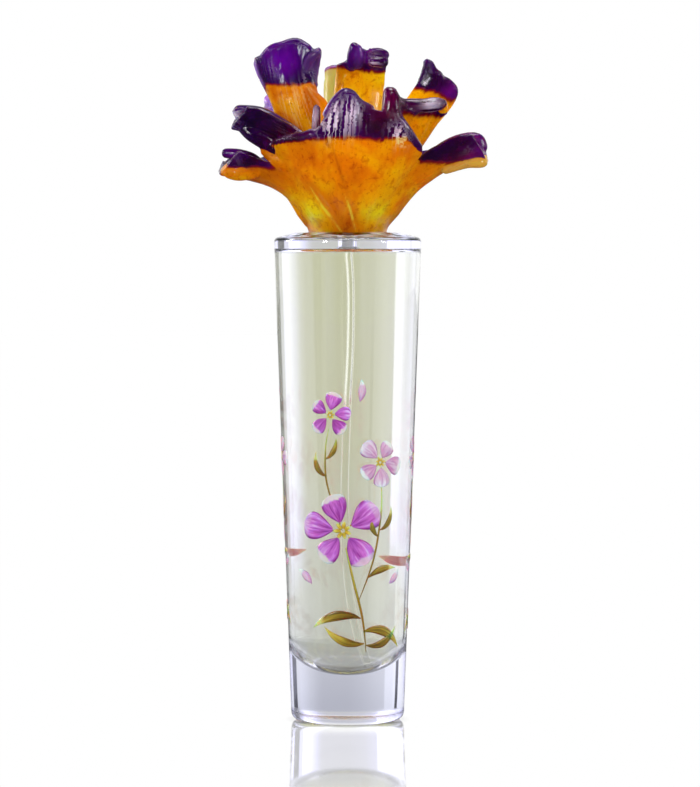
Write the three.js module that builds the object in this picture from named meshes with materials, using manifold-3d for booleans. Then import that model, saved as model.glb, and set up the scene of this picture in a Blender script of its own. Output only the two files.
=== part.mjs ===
// A tall tapered glass perfume bottle, filled, with a spray pump under a cast-glass stopper in the
// shape of an iris bloom. Millimetres, +Z up. The origin is the middle of the flat foot, on the
// bottle's axis, and -Y is the front.
import * as THREE from "three";
import { mergeVertices } from "three/addons/utils/BufferGeometryUtils.js";
import Module from "manifold-3d";

const wasm = await Module();
wasm.setup();

// ---- driving dimensions -------------------------------------------------------------------------
// Bottle: outside of the glass
const FOOT_RADIUS = 16.9;
const FOOT_CORNER = 2.6;
const TOP_RADIUS = 22.0;
const TOP_CORNER = 1.6;
const SHOULDER_EDGE_Z = 143.4;
const SEAT_Z = 145.6; // the flat ring round the neck, which the stopper stands on
const SEAT_RADIUS = 13.4;
// Bottle: the hollow
const FLOOR_Z = 13.0;
const FLOOR_CURVE_Z = 19.5; // where the bowl-shaped floor has turned into the wall
const CAVITY_FOOT_RADIUS = 14.2;
const CAVITY_TOP_RADIUS = 18.6;
const CEILING_Z = 141.2;
const CEILING_CORNER = 2.2;
// Neck, with the bead that the ferrule is crimped under
const NECK_BORE_RADIUS = 4.6;
const NECK_RADIUS = 6.6;
const BEAD_RADIUS = 7.5;
const BEAD_Z = 149.2;
const NECK_TOP_Z = 153.5;
// Perfume
const LIQUID_GAP = 0.3;
const LIQUID_LEVEL_Z = 139.8;
// Dip tube
const TUBE_RADIUS = 0.88;
const TUBE_BORE_RADIUS = 0.45;
const TUBE_TOP_Z = 142.6;
// Pump
const GASKET_THICK = 0.6;
const FLANGE_THICK = 1.0;
const HOUSING_RADIUS = 3.9;
const CHAMBER_RADIUS = 3.05;
const CHAMBER_Z = 144.2;
const TAIL_RADIUS = 1.75;
const TAIL_Z = 141.0;
const BALL_RADIUS = 0.8;
const SPRING_RADIUS = 2.1;
const SPRING_WIRE_RADIUS = 0.2;
const SPRING_TURNS = 4;
const PISTON_Z = 150.0;
const PISTON_HEIGHT = 2.2;
const PISTON_RADIUS = 2.85;
const STEM_RADIUS = 1.5;
const STEM_BORE_RADIUS = 0.6;
const STEM_TOP_Z = 163.0;
const FERRULE_WALL = 0.5;
const FERRULE_RADIUS = 8.3; // outside
const FERRULE_FOOT_Z = 147.3;
const ACTUATOR_RADIUS = 6.5;
const ACTUATOR_Z = 159.5; // 3.5 mm of travel and 0.3 mm to spare above the ferrule
const ACTUATOR_TOP_Z = 167.2;
const NOZZLE_RADIUS = 1.5;
const NOZZLE_Z = 163.6;
const NOZZLE_DEPTH = 2.4;
// Sleeve glued in the stopper, which grips the ferrule
const SLEEVE_WALL = 0.9;
const SLEEVE_FOOT_Z = 146.2;
const SLEEVE_STEP_Z = 156.9;
const SLEEVE_TOP_Z = 169.2;
const SLEEVE_GAP = 0.3;
// Stopper: the solid throat that the petals grow from, and the petals' glass
const THROAT_BASE_RADIUS = 12.7;
const THROAT_DOME_Z = 28; // above the seat
const PETAL_ROOT_THICK = 5.0;
const PETAL_RIM_THICK = 2.5;
const PETAL_THINNING = 0.67; // share of a petal's length over which it thins
const PETAL_EDGE_THIN = 0.45; // share of the thickness that is lost at both side edges
const RIM_BEAD_REACH = 0.09; // share of a petal's length that a rolled rim takes
const PETAL_CELLS_ACROSS = 12;
const PETAL_CELLS_ALONG = 10;

const ROUND = 40; // sides of a large round piece
const SMALL_ROUND = 24;

// ---- materials ----------------------------------------------------------------------------------
function material(color, roughness, metalness = 0, opacity = 1) {
  return new THREE.MeshStandardMaterial({
    color,
    roughness,
    metalness,
    opacity,
    transparent: opacity < 1,
  });
}
const CLEAR_GLASS = material(0xdfe3ea, 0.04, 0, 0.35);
const PERFUME = material(0xd8d9a8, 0.05, 0, 0.5);
const CAST_GLASS = material(0xd98208, 0.18, 0, 0.85);
const GOLD = material(0xc99a3a, 0.28, 1);
const WHITE_PLASTIC = material(0xeeeeea, 0.45);
const CLEAR_PLASTIC = material(0xe6e8e4, 0.3, 0, 0.6);
const STEEL = material(0xb9bcc0, 0.25, 1);
const RUBBER = material(0x3a3a3c, 0.7);

// ---- helpers ------------------------------------------------------------------------------------
// A closed profile of [radius, height] points, turned round the Z axis.
function turned(profile, sides = ROUND) {
  const points = profile.map(([r, z]) => new THREE.Vector2(r, z));
  if (profile[0][0] > 0) points.push(points[0].clone());
  return new THREE.LatheGeometry(points, sides).rotateX(Math.PI / 2);
}

// Points of an arc between two angles, in degrees, round a centre in a profile.
function arc(r, z, radius, from, to, steps) {
  return Array.from({ length: steps + 1 }, (_, i) => {
    const a = THREE.MathUtils.degToRad(from + ((to - from) * i) / steps);
    return [r + radius * Math.cos(a), z + radius * Math.sin(a)];
  });
}

// The cross-section of a round bar, as a polygon.
function roundSection(radius, sides) {
  return new THREE.Shape(
    Array.from({ length: sides }, (_, i) => {
      const a = (2 * Math.PI * i) / sides;
      return new THREE.Vector2(radius * Math.cos(a), radius * Math.sin(a));
    }),
  );
}

// A geometry as a solid of the boolean library: only its positions, with shared vertices merged.
function solid(geometry) {
  const bare = geometry.clone();
  for (const name of ["normal", "uv"]) bare.deleteAttribute(name);
  const merged = mergeVertices(bare, 1e-4);
  const made = new wasm.Manifold(
    new wasm.Mesh({
      numProp: 3,
      vertProperties: merged.attributes.position.array,
      triVerts: new Uint32Array(merged.index.array),
    }),
  );
  return made;
}

// A solid of the boolean library as a geometry again.
function geometryOf(made) {
  const mesh = made.getMesh();
  const geometry = new THREE.BufferGeometry();
  geometry.setAttribute("position", new THREE.BufferAttribute(mesh.vertProperties, 3));
  geometry.setIndex(new THREE.BufferAttribute(mesh.triVerts, 1));
  return geometry;
}

const bottleAndStopper = new THREE.Group();
bottleAndStopper.name = "perfume_bottle_with_bloom_stopper";

function addPiece(name, geometry, pieceMaterial) {
  const mesh = new THREE.Mesh(geometry, pieceMaterial);
  mesh.name = name;
  bottleAndStopper.add(mesh);
  return mesh;
}

// ---- bottle -------------------------------------------------------------------------------------
// The radius of the hollow at a height, on its straight taper.
function cavityRadius(z) {
  const t = (z - FLOOR_CURVE_Z) / (CEILING_Z - FLOOR_CURVE_Z);
  return THREE.MathUtils.lerp(CAVITY_FOOT_RADIUS, CAVITY_TOP_RADIUS, t);
}

// The bowl-shaped floor of the hollow, from the axis out to the wall, drawn in by a gap.
function floorProfile(gap) {
  const steps = 6;
  return Array.from({ length: steps + 1 }, (_, i) => {
    const a = ((i / steps) * Math.PI) / 2;
    const r = (CAVITY_FOOT_RADIUS - gap) * Math.sin(a);
    return [r, FLOOR_Z + gap + (FLOOR_CURVE_Z - FLOOR_Z - gap) * (1 - Math.cos(a)) ** 1.25];
  });
}

function bottleGeometry() {
  const outside = [
    [0, 0],
    [FOOT_RADIUS - FOOT_CORNER, 0],
    ...arc(FOOT_RADIUS - FOOT_CORNER, FOOT_CORNER, FOOT_CORNER, -60, 0, 3),
    ...arc(TOP_RADIUS - TOP_CORNER, SHOULDER_EDGE_Z - TOP_CORNER, TOP_CORNER, 0, 75, 3),
    [SEAT_RADIUS + 3, SEAT_Z - 0.55],
    [SEAT_RADIUS, SEAT_Z],
    [NECK_RADIUS, SEAT_Z],
    [NECK_RADIUS, BEAD_Z - 0.8],
    [BEAD_RADIUS, BEAD_Z],
    [BEAD_RADIUS, NECK_TOP_Z - 0.4],
    [BEAD_RADIUS - 0.4, NECK_TOP_Z],
    [NECK_BORE_RADIUS, NECK_TOP_Z],
  ];
  const ceilingRadius = cavityRadius(CEILING_Z) - CEILING_CORNER;
  const inside = [
    [NECK_BORE_RADIUS, CEILING_Z + 2.2],
    [NECK_BORE_RADIUS + 1.6, CEILING_Z + 0.9],
    ...arc(ceilingRadius, CEILING_Z - CEILING_CORNER, CEILING_CORNER, 90, 0, 3),
    ...floorProfile(0).reverse(),
  ];
  return turned([...outside, ...inside]);
}

// ---- dip tube -----------------------------------------------------------------------------------
// From the pump straight down, curling off to the right and back near the floor.
const TUBE_ROUTE = [
  [0.0, 0, TUBE_TOP_Z],
  [0.0, 0, 138],
  [0.5, 0.2, 128],
  [0.4, 0.4, 112],
  [-0.5, 0.6, 92],
  [-0.7, 1.0, 70],
  [-0.5, 1.6, 52],
  [0.4, 2.4, 38],
  [2.0, 3.2, 26],
  [4.2, 3.6, 15.4],
].map(([x, y, z]) => new THREE.Vector3(x, y, z));
const tubeCurve = new THREE.CatmullRomCurve3(TUBE_ROUTE);

// A bar of one radius along the tube's curve, running past both ends by an extra length.
function alongTube(radius, extra, sides = 8, steps = 24) {
  const points = tubeCurve.getSpacedPoints(steps);
  const top = points[0].clone().add(new THREE.Vector3(0, 0, extra));
  const end = points[steps].clone();
  end.add(tubeCurve.getTangent(1).multiplyScalar(extra));
  const route = new THREE.CatmullRomCurve3(extra ? [top, ...points, end] : points);
  return new THREE.ExtrudeGeometry(roundSection(radius, sides), {
    steps: steps + 4,
    extrudePath: route,
  });
}

// ---- perfume ------------------------------------------------------------------------------------
function perfumeGeometry() {
  const body = turned([
    ...floorProfile(LIQUID_GAP),
    [cavityRadius(LIQUID_LEVEL_Z) - LIQUID_GAP - 0.9, LIQUID_LEVEL_Z],
    [0, LIQUID_LEVEL_Z],
  ]);
  return geometryOf(solid(body).subtract(solid(alongTube(TUBE_RADIUS + LIQUID_GAP, 1.0, 8))));
}

// ---- pump ---------------------------------------------------------------------------------------
const FLANGE_Z = NECK_TOP_Z + GASKET_THICK;
const FERRULE_CEILING_Z = FLANGE_Z + FLANGE_THICK;

function gasketGeometry() {
  return turned(
    [
      [HOUSING_RADIUS + 0.3, NECK_TOP_Z],
      [BEAD_RADIUS - 0.3, NECK_TOP_Z],
      [BEAD_RADIUS - 0.3, FLANGE_Z],
      [HOUSING_RADIUS + 0.3, FLANGE_Z],
    ],
    SMALL_ROUND,
  );
}

// A cup with a flange that lies on the gasket, a chamber for piston and spring, and a narrow tail
// that the dip tube is pushed into. Its lid, round the stem, is left open for the moulding's core.
function housingGeometry() {
  const lidHole = STEM_RADIUS + 0.25;
  return turned(
    [
      [TUBE_RADIUS + 0.12, TAIL_Z],
      [TAIL_RADIUS, TAIL_Z],
      [TAIL_RADIUS, TAIL_Z + 2],
      [HOUSING_RADIUS, TAIL_Z + 3],
      [HOUSING_RADIUS, FLANGE_Z],
      [BEAD_RADIUS - 0.3, FLANGE_Z],
      [BEAD_RADIUS - 0.3, FERRULE_CEILING_Z],
      [lidHole, FERRULE_CEILING_Z],
      [lidHole, FERRULE_CEILING_Z - 1.2],
      [CHAMBER_RADIUS, FERRULE_CEILING_Z - 1.9],
      [CHAMBER_RADIUS, CHAMBER_Z],
      [BALL_RADIUS + 0.15, CHAMBER_Z],
      [TUBE_BORE_RADIUS, CHAMBER_Z - 0.75],
      [TUBE_BORE_RADIUS, TUBE_TOP_Z + 0.15],
      [TUBE_RADIUS + 0.12, TUBE_TOP_Z + 0.15],
    ],
    SMALL_ROUND,
  );
}

function springGeometry() {
  const bottom = CHAMBER_Z + SPRING_WIRE_RADIUS + 0.05;
  const top = PISTON_Z - SPRING_WIRE_RADIUS - 0.05;
  const stepsPerTurn = 12;
  const points = Array.from({ length: SPRING_TURNS * stepsPerTurn + 1 }, (_, i) => {
    const a = (2 * Math.PI * i) / stepsPerTurn;
    const z = THREE.MathUtils.lerp(bottom, top, i / (SPRING_TURNS * stepsPerTurn));
    return new THREE.Vector3(SPRING_RADIUS * Math.cos(a), SPRING_RADIUS * Math.sin(a), z);
  });
  return new THREE.ExtrudeGeometry(roundSection(SPRING_WIRE_RADIUS, 5), {
    steps: SPRING_TURNS * stepsPerTurn,
    extrudePath: new THREE.CatmullRomCurve3(points),
  });
}

// Piston and stem are one moulding, bored through.
function stemGeometry() {
  return turned(
    [
      [STEM_BORE_RADIUS, PISTON_Z],
      [PISTON_RADIUS, PISTON_Z],
      [PISTON_RADIUS, PISTON_Z + PISTON_HEIGHT],
      [STEM_RADIUS, PISTON_Z + PISTON_HEIGHT + 0.5],
      [STEM_RADIUS, STEM_TOP_Z],
      [STEM_BORE_RADIUS, STEM_TOP_Z],
    ],
    SMALL_ROUND,
  );
}

// The metal collar, crimped in under the neck's bead.
function ferruleGeometry() {
  const inner = FERRULE_RADIUS - FERRULE_WALL;
  const top = FERRULE_CEILING_Z + FERRULE_WALL;
  const crimpTop = BEAD_Z - 0.9;
  return turned([
    [BEAD_RADIUS - 0.45, FERRULE_FOOT_Z],
    [FERRULE_RADIUS - 0.25, FERRULE_FOOT_Z],
    [FERRULE_RADIUS, FERRULE_FOOT_Z + 0.9],
    [FERRULE_RADIUS, top - 0.6],
    [FERRULE_RADIUS - 0.6, top],
    [STEM_RADIUS + 0.9, top],
    [STEM_RADIUS + 0.9, FERRULE_CEILING_Z],
    [inner, FERRULE_CEILING_Z],
    [inner, crimpTop + 0.6],
    [BEAD_RADIUS - 0.45, crimpTop],
  ]);
}

function actuatorGeometry() {
  const socket = STEM_RADIUS + 0.15;
  const button = turned([
    [socket, ACTUATOR_Z],
    [ACTUATOR_RADIUS - 0.2, ACTUATOR_Z],
    [ACTUATOR_RADIUS, ACTUATOR_Z + 0.3],
    [ACTUATOR_RADIUS, ACTUATOR_TOP_Z - 0.9],
    [ACTUATOR_RADIUS - 0.9, ACTUATOR_TOP_Z],
    [3.5, ACTUATOR_TOP_Z - 0.25],
    [0, ACTUATOR_TOP_Z - 0.45],
    [0, STEM_TOP_Z + 1.4],
    [STEM_BORE_RADIUS, STEM_TOP_Z + 1.4],
    [STEM_BORE_RADIUS, STEM_TOP_Z + 0.1],
    [socket, STEM_TOP_Z + 0.1],
  ]);
  const seat = nozzleBar(NOZZLE_RADIUS + 0.12, NOZZLE_DEPTH + 0.2, 1);
  const duct = nozzleBar(0.35, ACTUATOR_RADIUS, 0);
  return geometryOf(solid(button).subtract(solid(seat)).subtract(solid(duct)));
}

// A round bar that lies along Y from the front of the button inwards.
function nozzleBar(radius, depth, proud) {
  const bar = new THREE.CylinderGeometry(radius, radius, depth + proud, 16);
  bar.translate(0, -ACTUATOR_RADIUS + (depth - proud) / 2, NOZZLE_Z);
  return bar;
}

function nozzleGeometry() {
  const proud = 0.1;
  const insert = solid(nozzleBar(NOZZLE_RADIUS, NOZZLE_DEPTH, proud));
  return geometryOf(insert.subtract(solid(nozzleBar(0.22, ACTUATOR_RADIUS, 1))));
}

function sleeveGeometry() {
  const low = FERRULE_RADIUS + 0.2;
  const high = ACTUATOR_RADIUS + 0.55;
  return turned([
    [low, SLEEVE_FOOT_Z],
    [low + SLEEVE_WALL, SLEEVE_FOOT_Z],
    [low + SLEEVE_WALL, SLEEVE_STEP_Z],
    [high + SLEEVE_WALL, SLEEVE_STEP_Z + 0.8],
    [high + SLEEVE_WALL, SLEEVE_TOP_Z],
    [0, SLEEVE_TOP_Z],
    [0, SLEEVE_TOP_Z - SLEEVE_WALL],
    [high, SLEEVE_TOP_Z - SLEEVE_WALL],
    [high, SLEEVE_STEP_Z - 0.1],
    [low, SLEEVE_STEP_Z - 0.9],
  ]);
}

// ---- the bloom ----------------------------------------------------------------------------------
// Each petal is a thick waved sheet. Its spine runs from the throat to the rim, and each row gives
// [x, y, height above the seat, half width, how far both edges stand off to the upper side].
// side: the direction across the petal, in degrees. rim: how far the rim runs past the spine's
// end, as a share of its length, from one edge to the other. wave: [height in mm, whole waves from
// edge to edge, phase]. bead: extra thickness of a rolled rim.
const PETALS = {
  front_fall: {
    side: 0,
    spine: [
      [0, -10.5, 1, 8.5, 3],
      [0, -14.5, 7, 12.5, 6],
      [0, -20, 14.5, 18, 9],
      [0, -23, 22, 21.5, 9],
      [0.5, -24.5, 30, 21, 6],
      [1, -25, 38, 18, 3],
    ],
    rim: [-0.36, -0.3, -0.02, 0.06, -0.02, -0.05, -0.12, -0.4],
    wave: [1.5, 1.3, 0.6],
    bead: 0.4,
  },
  right_fall: {
    side: 86,
    spine: [
      [10.5, -1, 2, 8.5, 2.5],
      [15, -1.5, 8, 9.5, 3.5],
      [20.5, -2, 13.5, 10, 4.5],
      [28.5, -3, 18.6, 10, 6],
      [35.8, -3.5, 20.6, 9.5, 8],
      [40.6, -3.5, 21.8, 7.6, 7.5],
    ],
    rim: [-0.12, 0, 0.02, 0, -0.1],
    wave: [1.0, 1.0, 0.4],
    bead: 0.8,
  },
  left_fall: {
    side: -82,
    spine: [
      [-10.5, -2, 2, 8.5, 2.5],
      [-15, -2.5, 7.5, 9.5, 3.5],
      [-21, -3.5, 12.3, 10, 4.5],
      [-28, -5, 15.2, 10, 5.5],
      [-33.6, -6, 16.2, 9.5, 7.5],
      [-36.9, -6.5, 17.4, 7.8, 7.5],
    ],
    rim: [-0.1, 0, 0.02, 0.0, -0.1],
    wave: [1.2, 1.2, 2.0],
    bead: 1.0,
  },
  left_rolled: {
    side: -72,
    spine: [
      [-6, -3, 14, 5, 2],
      [-12, -5, 20.5, 5.5, 3],
      [-18, -7, 25, 5.6, 5],
      [-24.5, -8.5, 28, 5.8, 6],
      [-30, -9.5, 30, 5.6, 6.8],
      [-33.3, -10, 31.2, 5, 6.5],
    ],
    rim: [-0.1, 0, 0.02, 0, -0.08],
    wave: [0.6, 1.0, 1.0],
    bead: 0.8,
  },
  left_standard: {
    side: -10,
    spine: [
      [-5, -4, 14, 5, 1],
      [-10, -5.5, 24, 5.8, 2],
      [-14.2, -6, 33.5, 6.6, 2.8],
      [-17.3, -6.5, 42.5, 7.9, 3.2],
      [-18.4, -6, 50, 9.6, 2.6],
      [-18.4, -5.5, 55, 10.2, 2],
    ],
    rim: [-0.16, -0.07, 0.0, 0.06, 0.01, -0.06],
    wave: [1.2, 1.4, 0.2],
    bead: 0.4,
  },
  middle_standard: {
    side: 4,
    spine: [
      [2, 3, 16, 5, 1],
      [2.8, 4, 29, 6.5, 1.5],
      [3.6, 5, 40, 7.5, 2],
      [4.4, 4.5, 47, 7.6, 2],
      [5.2, 3, 51.5, 7.2, 1],
      [5.6, 1.5, 54.5, 6.6, 0],
    ],
    rim: [-0.14, 0.02, 0.03, -0.08, 0.0, -0.03],
    wave: [1.2, 1.6, 1.4],
    bead: 1.4,
  },
  right_standard: {
    side: 18,
    spine: [
      [9, 3, 14, 4.5, 1],
      [15.5, 5, 25, 5.2, 1.5],
      [21.2, 7, 34, 5.8, 2],
      [26, 8, 41, 6.4, 2],
      [28, 8, 47, 6.4, 1.5],
    ],
    rim: [0.08, 0.09, 0.0, -0.07, -0.14],
    wave: [1.0, 1.8, 0.8],
    bead: 0.4,
  },
  right_cup: {
    side: 27,
    spine: [
      [6, -6, 12, 5, 2],
      [12.5, -9, 20, 6.5, 3],
      [16.6, -11.5, 27, 8.2, 3.5],
      [19.4, -13.5, 33, 9.6, 3],
      [20.9, -15, 37, 10.4, 1.5],
    ],
    rim: [0.1, 0.13, 0.0, 0.02, 0.02, -0.04],
    wave: [0.8, 1.2, 0.2],
    bead: 2.4,
  },
  back_standard: {
    side: 0,
    spine: [
      [-1, 6, 16, 5, 1],
      [-2, 11, 29, 5.4, 2],
      [-2.5, 15, 40, 5.8, 2.5],
      [-2.6, 17, 48.2, 5.8, 2],
    ],
    rim: [-0.08, 0.02, 0, 0.02, -0.1],
    wave: [0.8, 1.3, 0.5],
    bead: 0.3,
  },
  back_left_standard: {
    side: 238,
    spine: [
      [-5, 4, 12, 6, 2],
      [-11, 8, 22, 7, 3],
      [-17, 11, 31, 8, 3],
      [-21.5, 13, 38, 8, 2],
    ],
    rim: [-0.1, 0, 0.03, 0, -0.1],
    wave: [1.2, 1.3, 2.2],
    bead: 0.5,
  },
  back_right_standard: {
    side: 150,
    spine: [
      [4, 5, 14, 5, 1],
      [7, 10, 25, 6.4, 2],
      [9, 14.5, 34, 7.4, 2],
      [10, 17, 42, 7.4, 1.5],
    ],
    rim: [-0.12, 0, 0.03, 0, -0.1],
    wave: [1.0, 1.3, 0.9],
    bead: 1.0,
  },
  back_fall: {
    side: 184,
    spine: [
      [0, 10.5, 1, 8.5, 3],
      [0, 14.5, 7, 12.5, 6],
      [-0.5, 19.5, 14.5, 18, 9],
      [-1, 22, 22, 20, 7.5],
      [-1.5, 24.5, 29, 19, 5.5],
      [-2, 25.5, 35, 16, 2],
    ],
    rim: [-0.3, -0.06, 0.05, 0.0, -0.05, 0.04, -0.1, -0.34],
    wave: [1.5, 1.5, 2.4],
    bead: 0.8,
  },
  back_right_fall: {
    side: 132,
    spine: [
      [7, 7.5, 2, 8.5, 3],
      [10.3, 10.8, 8, 10, 4],
      [15.2, 15.4, 14, 11, 5],
      [21.5, 20.5, 18.5, 11.5, 6],
      [26, 24, 21.5, 10, 5.5],
    ],
    rim: [-0.12, 0, 0.03, 0, -0.12],
    wave: [1.3, 1.2, 1.2],
    bead: 0.9,
  },
  back_left_fall: {
    side: 222,
    spine: [
      [-7.5, 7, 2, 8.5, 3],
      [-10.8, 10.3, 8, 10, 4],
      [-16, 15, 13.5, 11, 5],
      [-22.5, 19.5, 17, 11.5, 5.5],
      [-27.5, 22, 20.5, 9.5, 5.5],
    ],
    rim: [-0.12, 0, 0.03, 0, -0.12],
    wave: [1.3, 1.3, 0.1],
    bead: 0.9,
  },
};

// Catmull-Rom through the rows of a table, every column at once. t runs from 0 to 1.
function along(rows, t) {
  const s = THREE.MathUtils.clamp(t, 0, 1) * (rows.length - 1);
  const i = Math.min(Math.floor(s), rows.length - 2);
  const f = s - i;
  const row = (k) => rows[THREE.MathUtils.clamp(k, 0, rows.length - 1)];
  return rows[0].map((_, c) => {
    const [a, b, d, e] = [row(i - 1)[c], row(i)[c], row(i + 1)[c], row(i + 2)[c]];
    const cubic = (3 * b - a - 3 * d + e) * f ** 3;
    return 0.5 * (2 * b + (d - a) * f + (2 * a - 5 * b + 4 * d - e) * f ** 2 + cubic);
  });
}

// A point on a petal's middle sheet: u from -1 to 1 across it, v from 0 at the root to 1 at the rim.
function petalPoint(petal, u, v) {
  const reach = v * (1 + along(petal.rim.map((x) => [x]), (u + 1) / 2)[0] * v);
  const t = Math.min(reach, 1);
  const [x, y, z, halfWidth, bow] = along(petal.spine, t);
  const before = along(petal.spine, t - 0.02);
  const after = along(petal.spine, t + 0.02);
  const up = new THREE.Vector3(after[0] - before[0], after[1] - before[1], after[2] - before[2]);
  up.normalize();
  const angle = THREE.MathUtils.degToRad(petal.side);
  const across = new THREE.Vector3(Math.cos(angle), Math.sin(angle), 0);
  across.addScaledVector(up, -across.dot(up)).normalize();
  const off = new THREE.Vector3().crossVectors(up, across);
  const [height, waves, phase] = petal.wave;
  const wave = height * v ** 3 * Math.sin(Math.PI * waves * u + phase);
  const spineLength = petal.spine
    .slice(1)
    .reduce((sum, p, i) => sum + Math.hypot(...[0, 1, 2].map((k) => p[k] - petal.spine[i][k])), 0);
  return new THREE.Vector3(x, y, z + SEAT_Z)
    .addScaledVector(across, halfWidth * u)
    .addScaledVector(off, bow * u * u + wave)
    .addScaledVector(up, (reach - t) * spineLength);
}

// The petal as a closed sheet: an upper and a lower face, joined round all four edges.
function petalGeometry(petal) {
  const across = PETAL_CELLS_ACROSS;
  const length = PETAL_CELLS_ALONG;
  const step = 0.01;
  const positions = [];
  for (const face of [1, -1]) {
    for (let j = 0; j <= length; j++) {
      for (let i = 0; i <= across; i++) {
        const u = (2 * i) / across - 1;
        const v = j / length;
        const p = petalPoint(petal, u, v);
        const du = petalPoint(petal, Math.min(u + step, 1), v);
        du.sub(petalPoint(petal, Math.max(u - step, -1), v));
        const dv = petalPoint(petal, u, Math.min(v + step, 1));
        dv.sub(petalPoint(petal, u, Math.max(v - step, 0)));
        const normal = new THREE.Vector3().crossVectors(dv, du).normalize();
        const thinned = Math.min(1, v / PETAL_THINNING);
        const even = THREE.MathUtils.lerp(PETAL_ROOT_THICK, PETAL_RIM_THICK, thinned);
        const bead = petal.bead * Math.exp(-(((1 - v) / RIM_BEAD_REACH) ** 2));
        const edge = 1 - PETAL_EDGE_THIN * Math.abs(u) ** 8;
        p.addScaledVector(normal, (face * (even + bead) * edge) / 2);
        positions.push(p.x, p.y, p.z);
      }
    }
  }
  const wide = across + 1;
  const sheet = wide * (length + 1);
  const index = [];
  const quad = (a, b, c, d) => index.push(a, b, c, a, c, d);
  for (let j = 0; j < length; j++) {
    for (let i = 0; i < across; i++) {
      const a = j * wide + i;
      quad(a, a + wide, a + wide + 1, a + 1);
      index.push(sheet + a, sheet + a + wide + 1, sheet + a + wide);
      index.push(sheet + a, sheet + a + 1, sheet + a + wide + 1);
    }
  }
  for (let j = 0; j < length; j++) {
    const [a, b] = [j * wide, (j + 1) * wide];
    quad(a, a + sheet, b + sheet, b);
    quad(b + across, b + across + sheet, a + across + sheet, a + across);
  }
  const top = length * wide;
  for (let i = 0; i < across; i++) {
    quad(i + 1, i + 1 + sheet, i + sheet, i);
    quad(top + i, top + i + sheet, top + i + 1 + sheet, top + i + 1);
  }
  const geometry = new THREE.BufferGeometry();
  geometry.setAttribute("position", new THREE.Float32BufferAttribute(positions, 3));
  geometry.setIndex(index);
  return geometry;
}

// The solid throat, flaring from the foot ring, with its top closed low between the petals.
function throatGeometry() {
  const profile = [
    [0, 0],
    [THROAT_BASE_RADIUS, 0],
    [THROAT_BASE_RADIUS + 0.3, 1.4],
    [THROAT_BASE_RADIUS + 1.2, 3.4],
    [THROAT_BASE_RADIUS + 2.6, 5.8],
    [THROAT_BASE_RADIUS + 4.2, 8.2],
    [THROAT_BASE_RADIUS + 5.6, 10.8],
    [THROAT_BASE_RADIUS + 5.8, 13.5],
    [THROAT_BASE_RADIUS + 4.4, 16.5],
    [THROAT_BASE_RADIUS + 1.4, 20],
    [THROAT_BASE_RADIUS - 1.2, 24],
    [8, THROAT_DOME_Z - 1],
    [0, THROAT_DOME_Z],
  ];
  return turned(profile.map(([r, z]) => [r, SEAT_Z + z]));
}

// What is cut from the casting: the stepped bore for the sleeve, and all that is below the seat.
function boreGeometry() {
  const low = FERRULE_RADIUS + 0.2 + SLEEVE_WALL + SLEEVE_GAP;
  const high = ACTUATOR_RADIUS + 0.55 + SLEEVE_WALL + SLEEVE_GAP;
  return turned([
    [0, SEAT_Z - 6],
    [2 * THROAT_BASE_RADIUS, SEAT_Z - 6],
    [2 * THROAT_BASE_RADIUS, SEAT_Z],
    [low, SEAT_Z],
    [low, SLEEVE_STEP_Z + 0.3],
    [high, SLEEVE_STEP_Z + 1.1],
    [high, SLEEVE_TOP_Z + 0.3],
    [0, SLEEVE_TOP_Z + 0.3],
  ]);
}

function bloomGeometry() {
  let bloom = solid(throatGeometry());
  for (const petal of Object.values(PETALS)) bloom = bloom.add(solid(petalGeometry(petal)));
  bloom = bloom.subtract(solid(boreGeometry()));
  const bodies = bloom.decompose();
  bodies.sort((a, b) => b.volume() - a.volume());
  return geometryOf(bodies[0]);
}

// ---- the pieces ---------------------------------------------------------------------------------
addPiece("bottle", bottleGeometry(), CLEAR_GLASS);
addPiece("perfume", perfumeGeometry(), PERFUME);
addPiece(
  "dip_tube",
  geometryOf(solid(alongTube(TUBE_RADIUS, 0)).subtract(solid(alongTube(TUBE_BORE_RADIUS, 1, 6)))),
  CLEAR_PLASTIC,
);
addPiece("neck_gasket", gasketGeometry(), RUBBER);
addPiece("pump_housing", housingGeometry(), WHITE_PLASTIC);
const ball = new THREE.SphereGeometry(BALL_RADIUS, 12, 8).rotateX(Math.PI / 2);
addPiece("inlet_ball", ball, STEEL).position.z = CHAMBER_Z + 0.55;
addPiece("pump_spring", springGeometry(), STEEL);
addPiece("pump_stem", stemGeometry(), WHITE_PLASTIC);
addPiece("ferrule", ferruleGeometry(), GOLD);
addPiece("actuator", actuatorGeometry(), GOLD);
addPiece("nozzle_insert", nozzleGeometry(), WHITE_PLASTIC);
addPiece("stopper_sleeve", sleeveGeometry(), CLEAR_PLASTIC);
addPiece("bloom_stopper", bloomGeometry(), CAST_GLASS);

export default bottleAndStopper;
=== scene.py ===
import math

import bpy
import numpy as np
from mathutils import Euler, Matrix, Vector
from mathutils.kdtree import KDTree


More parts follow.
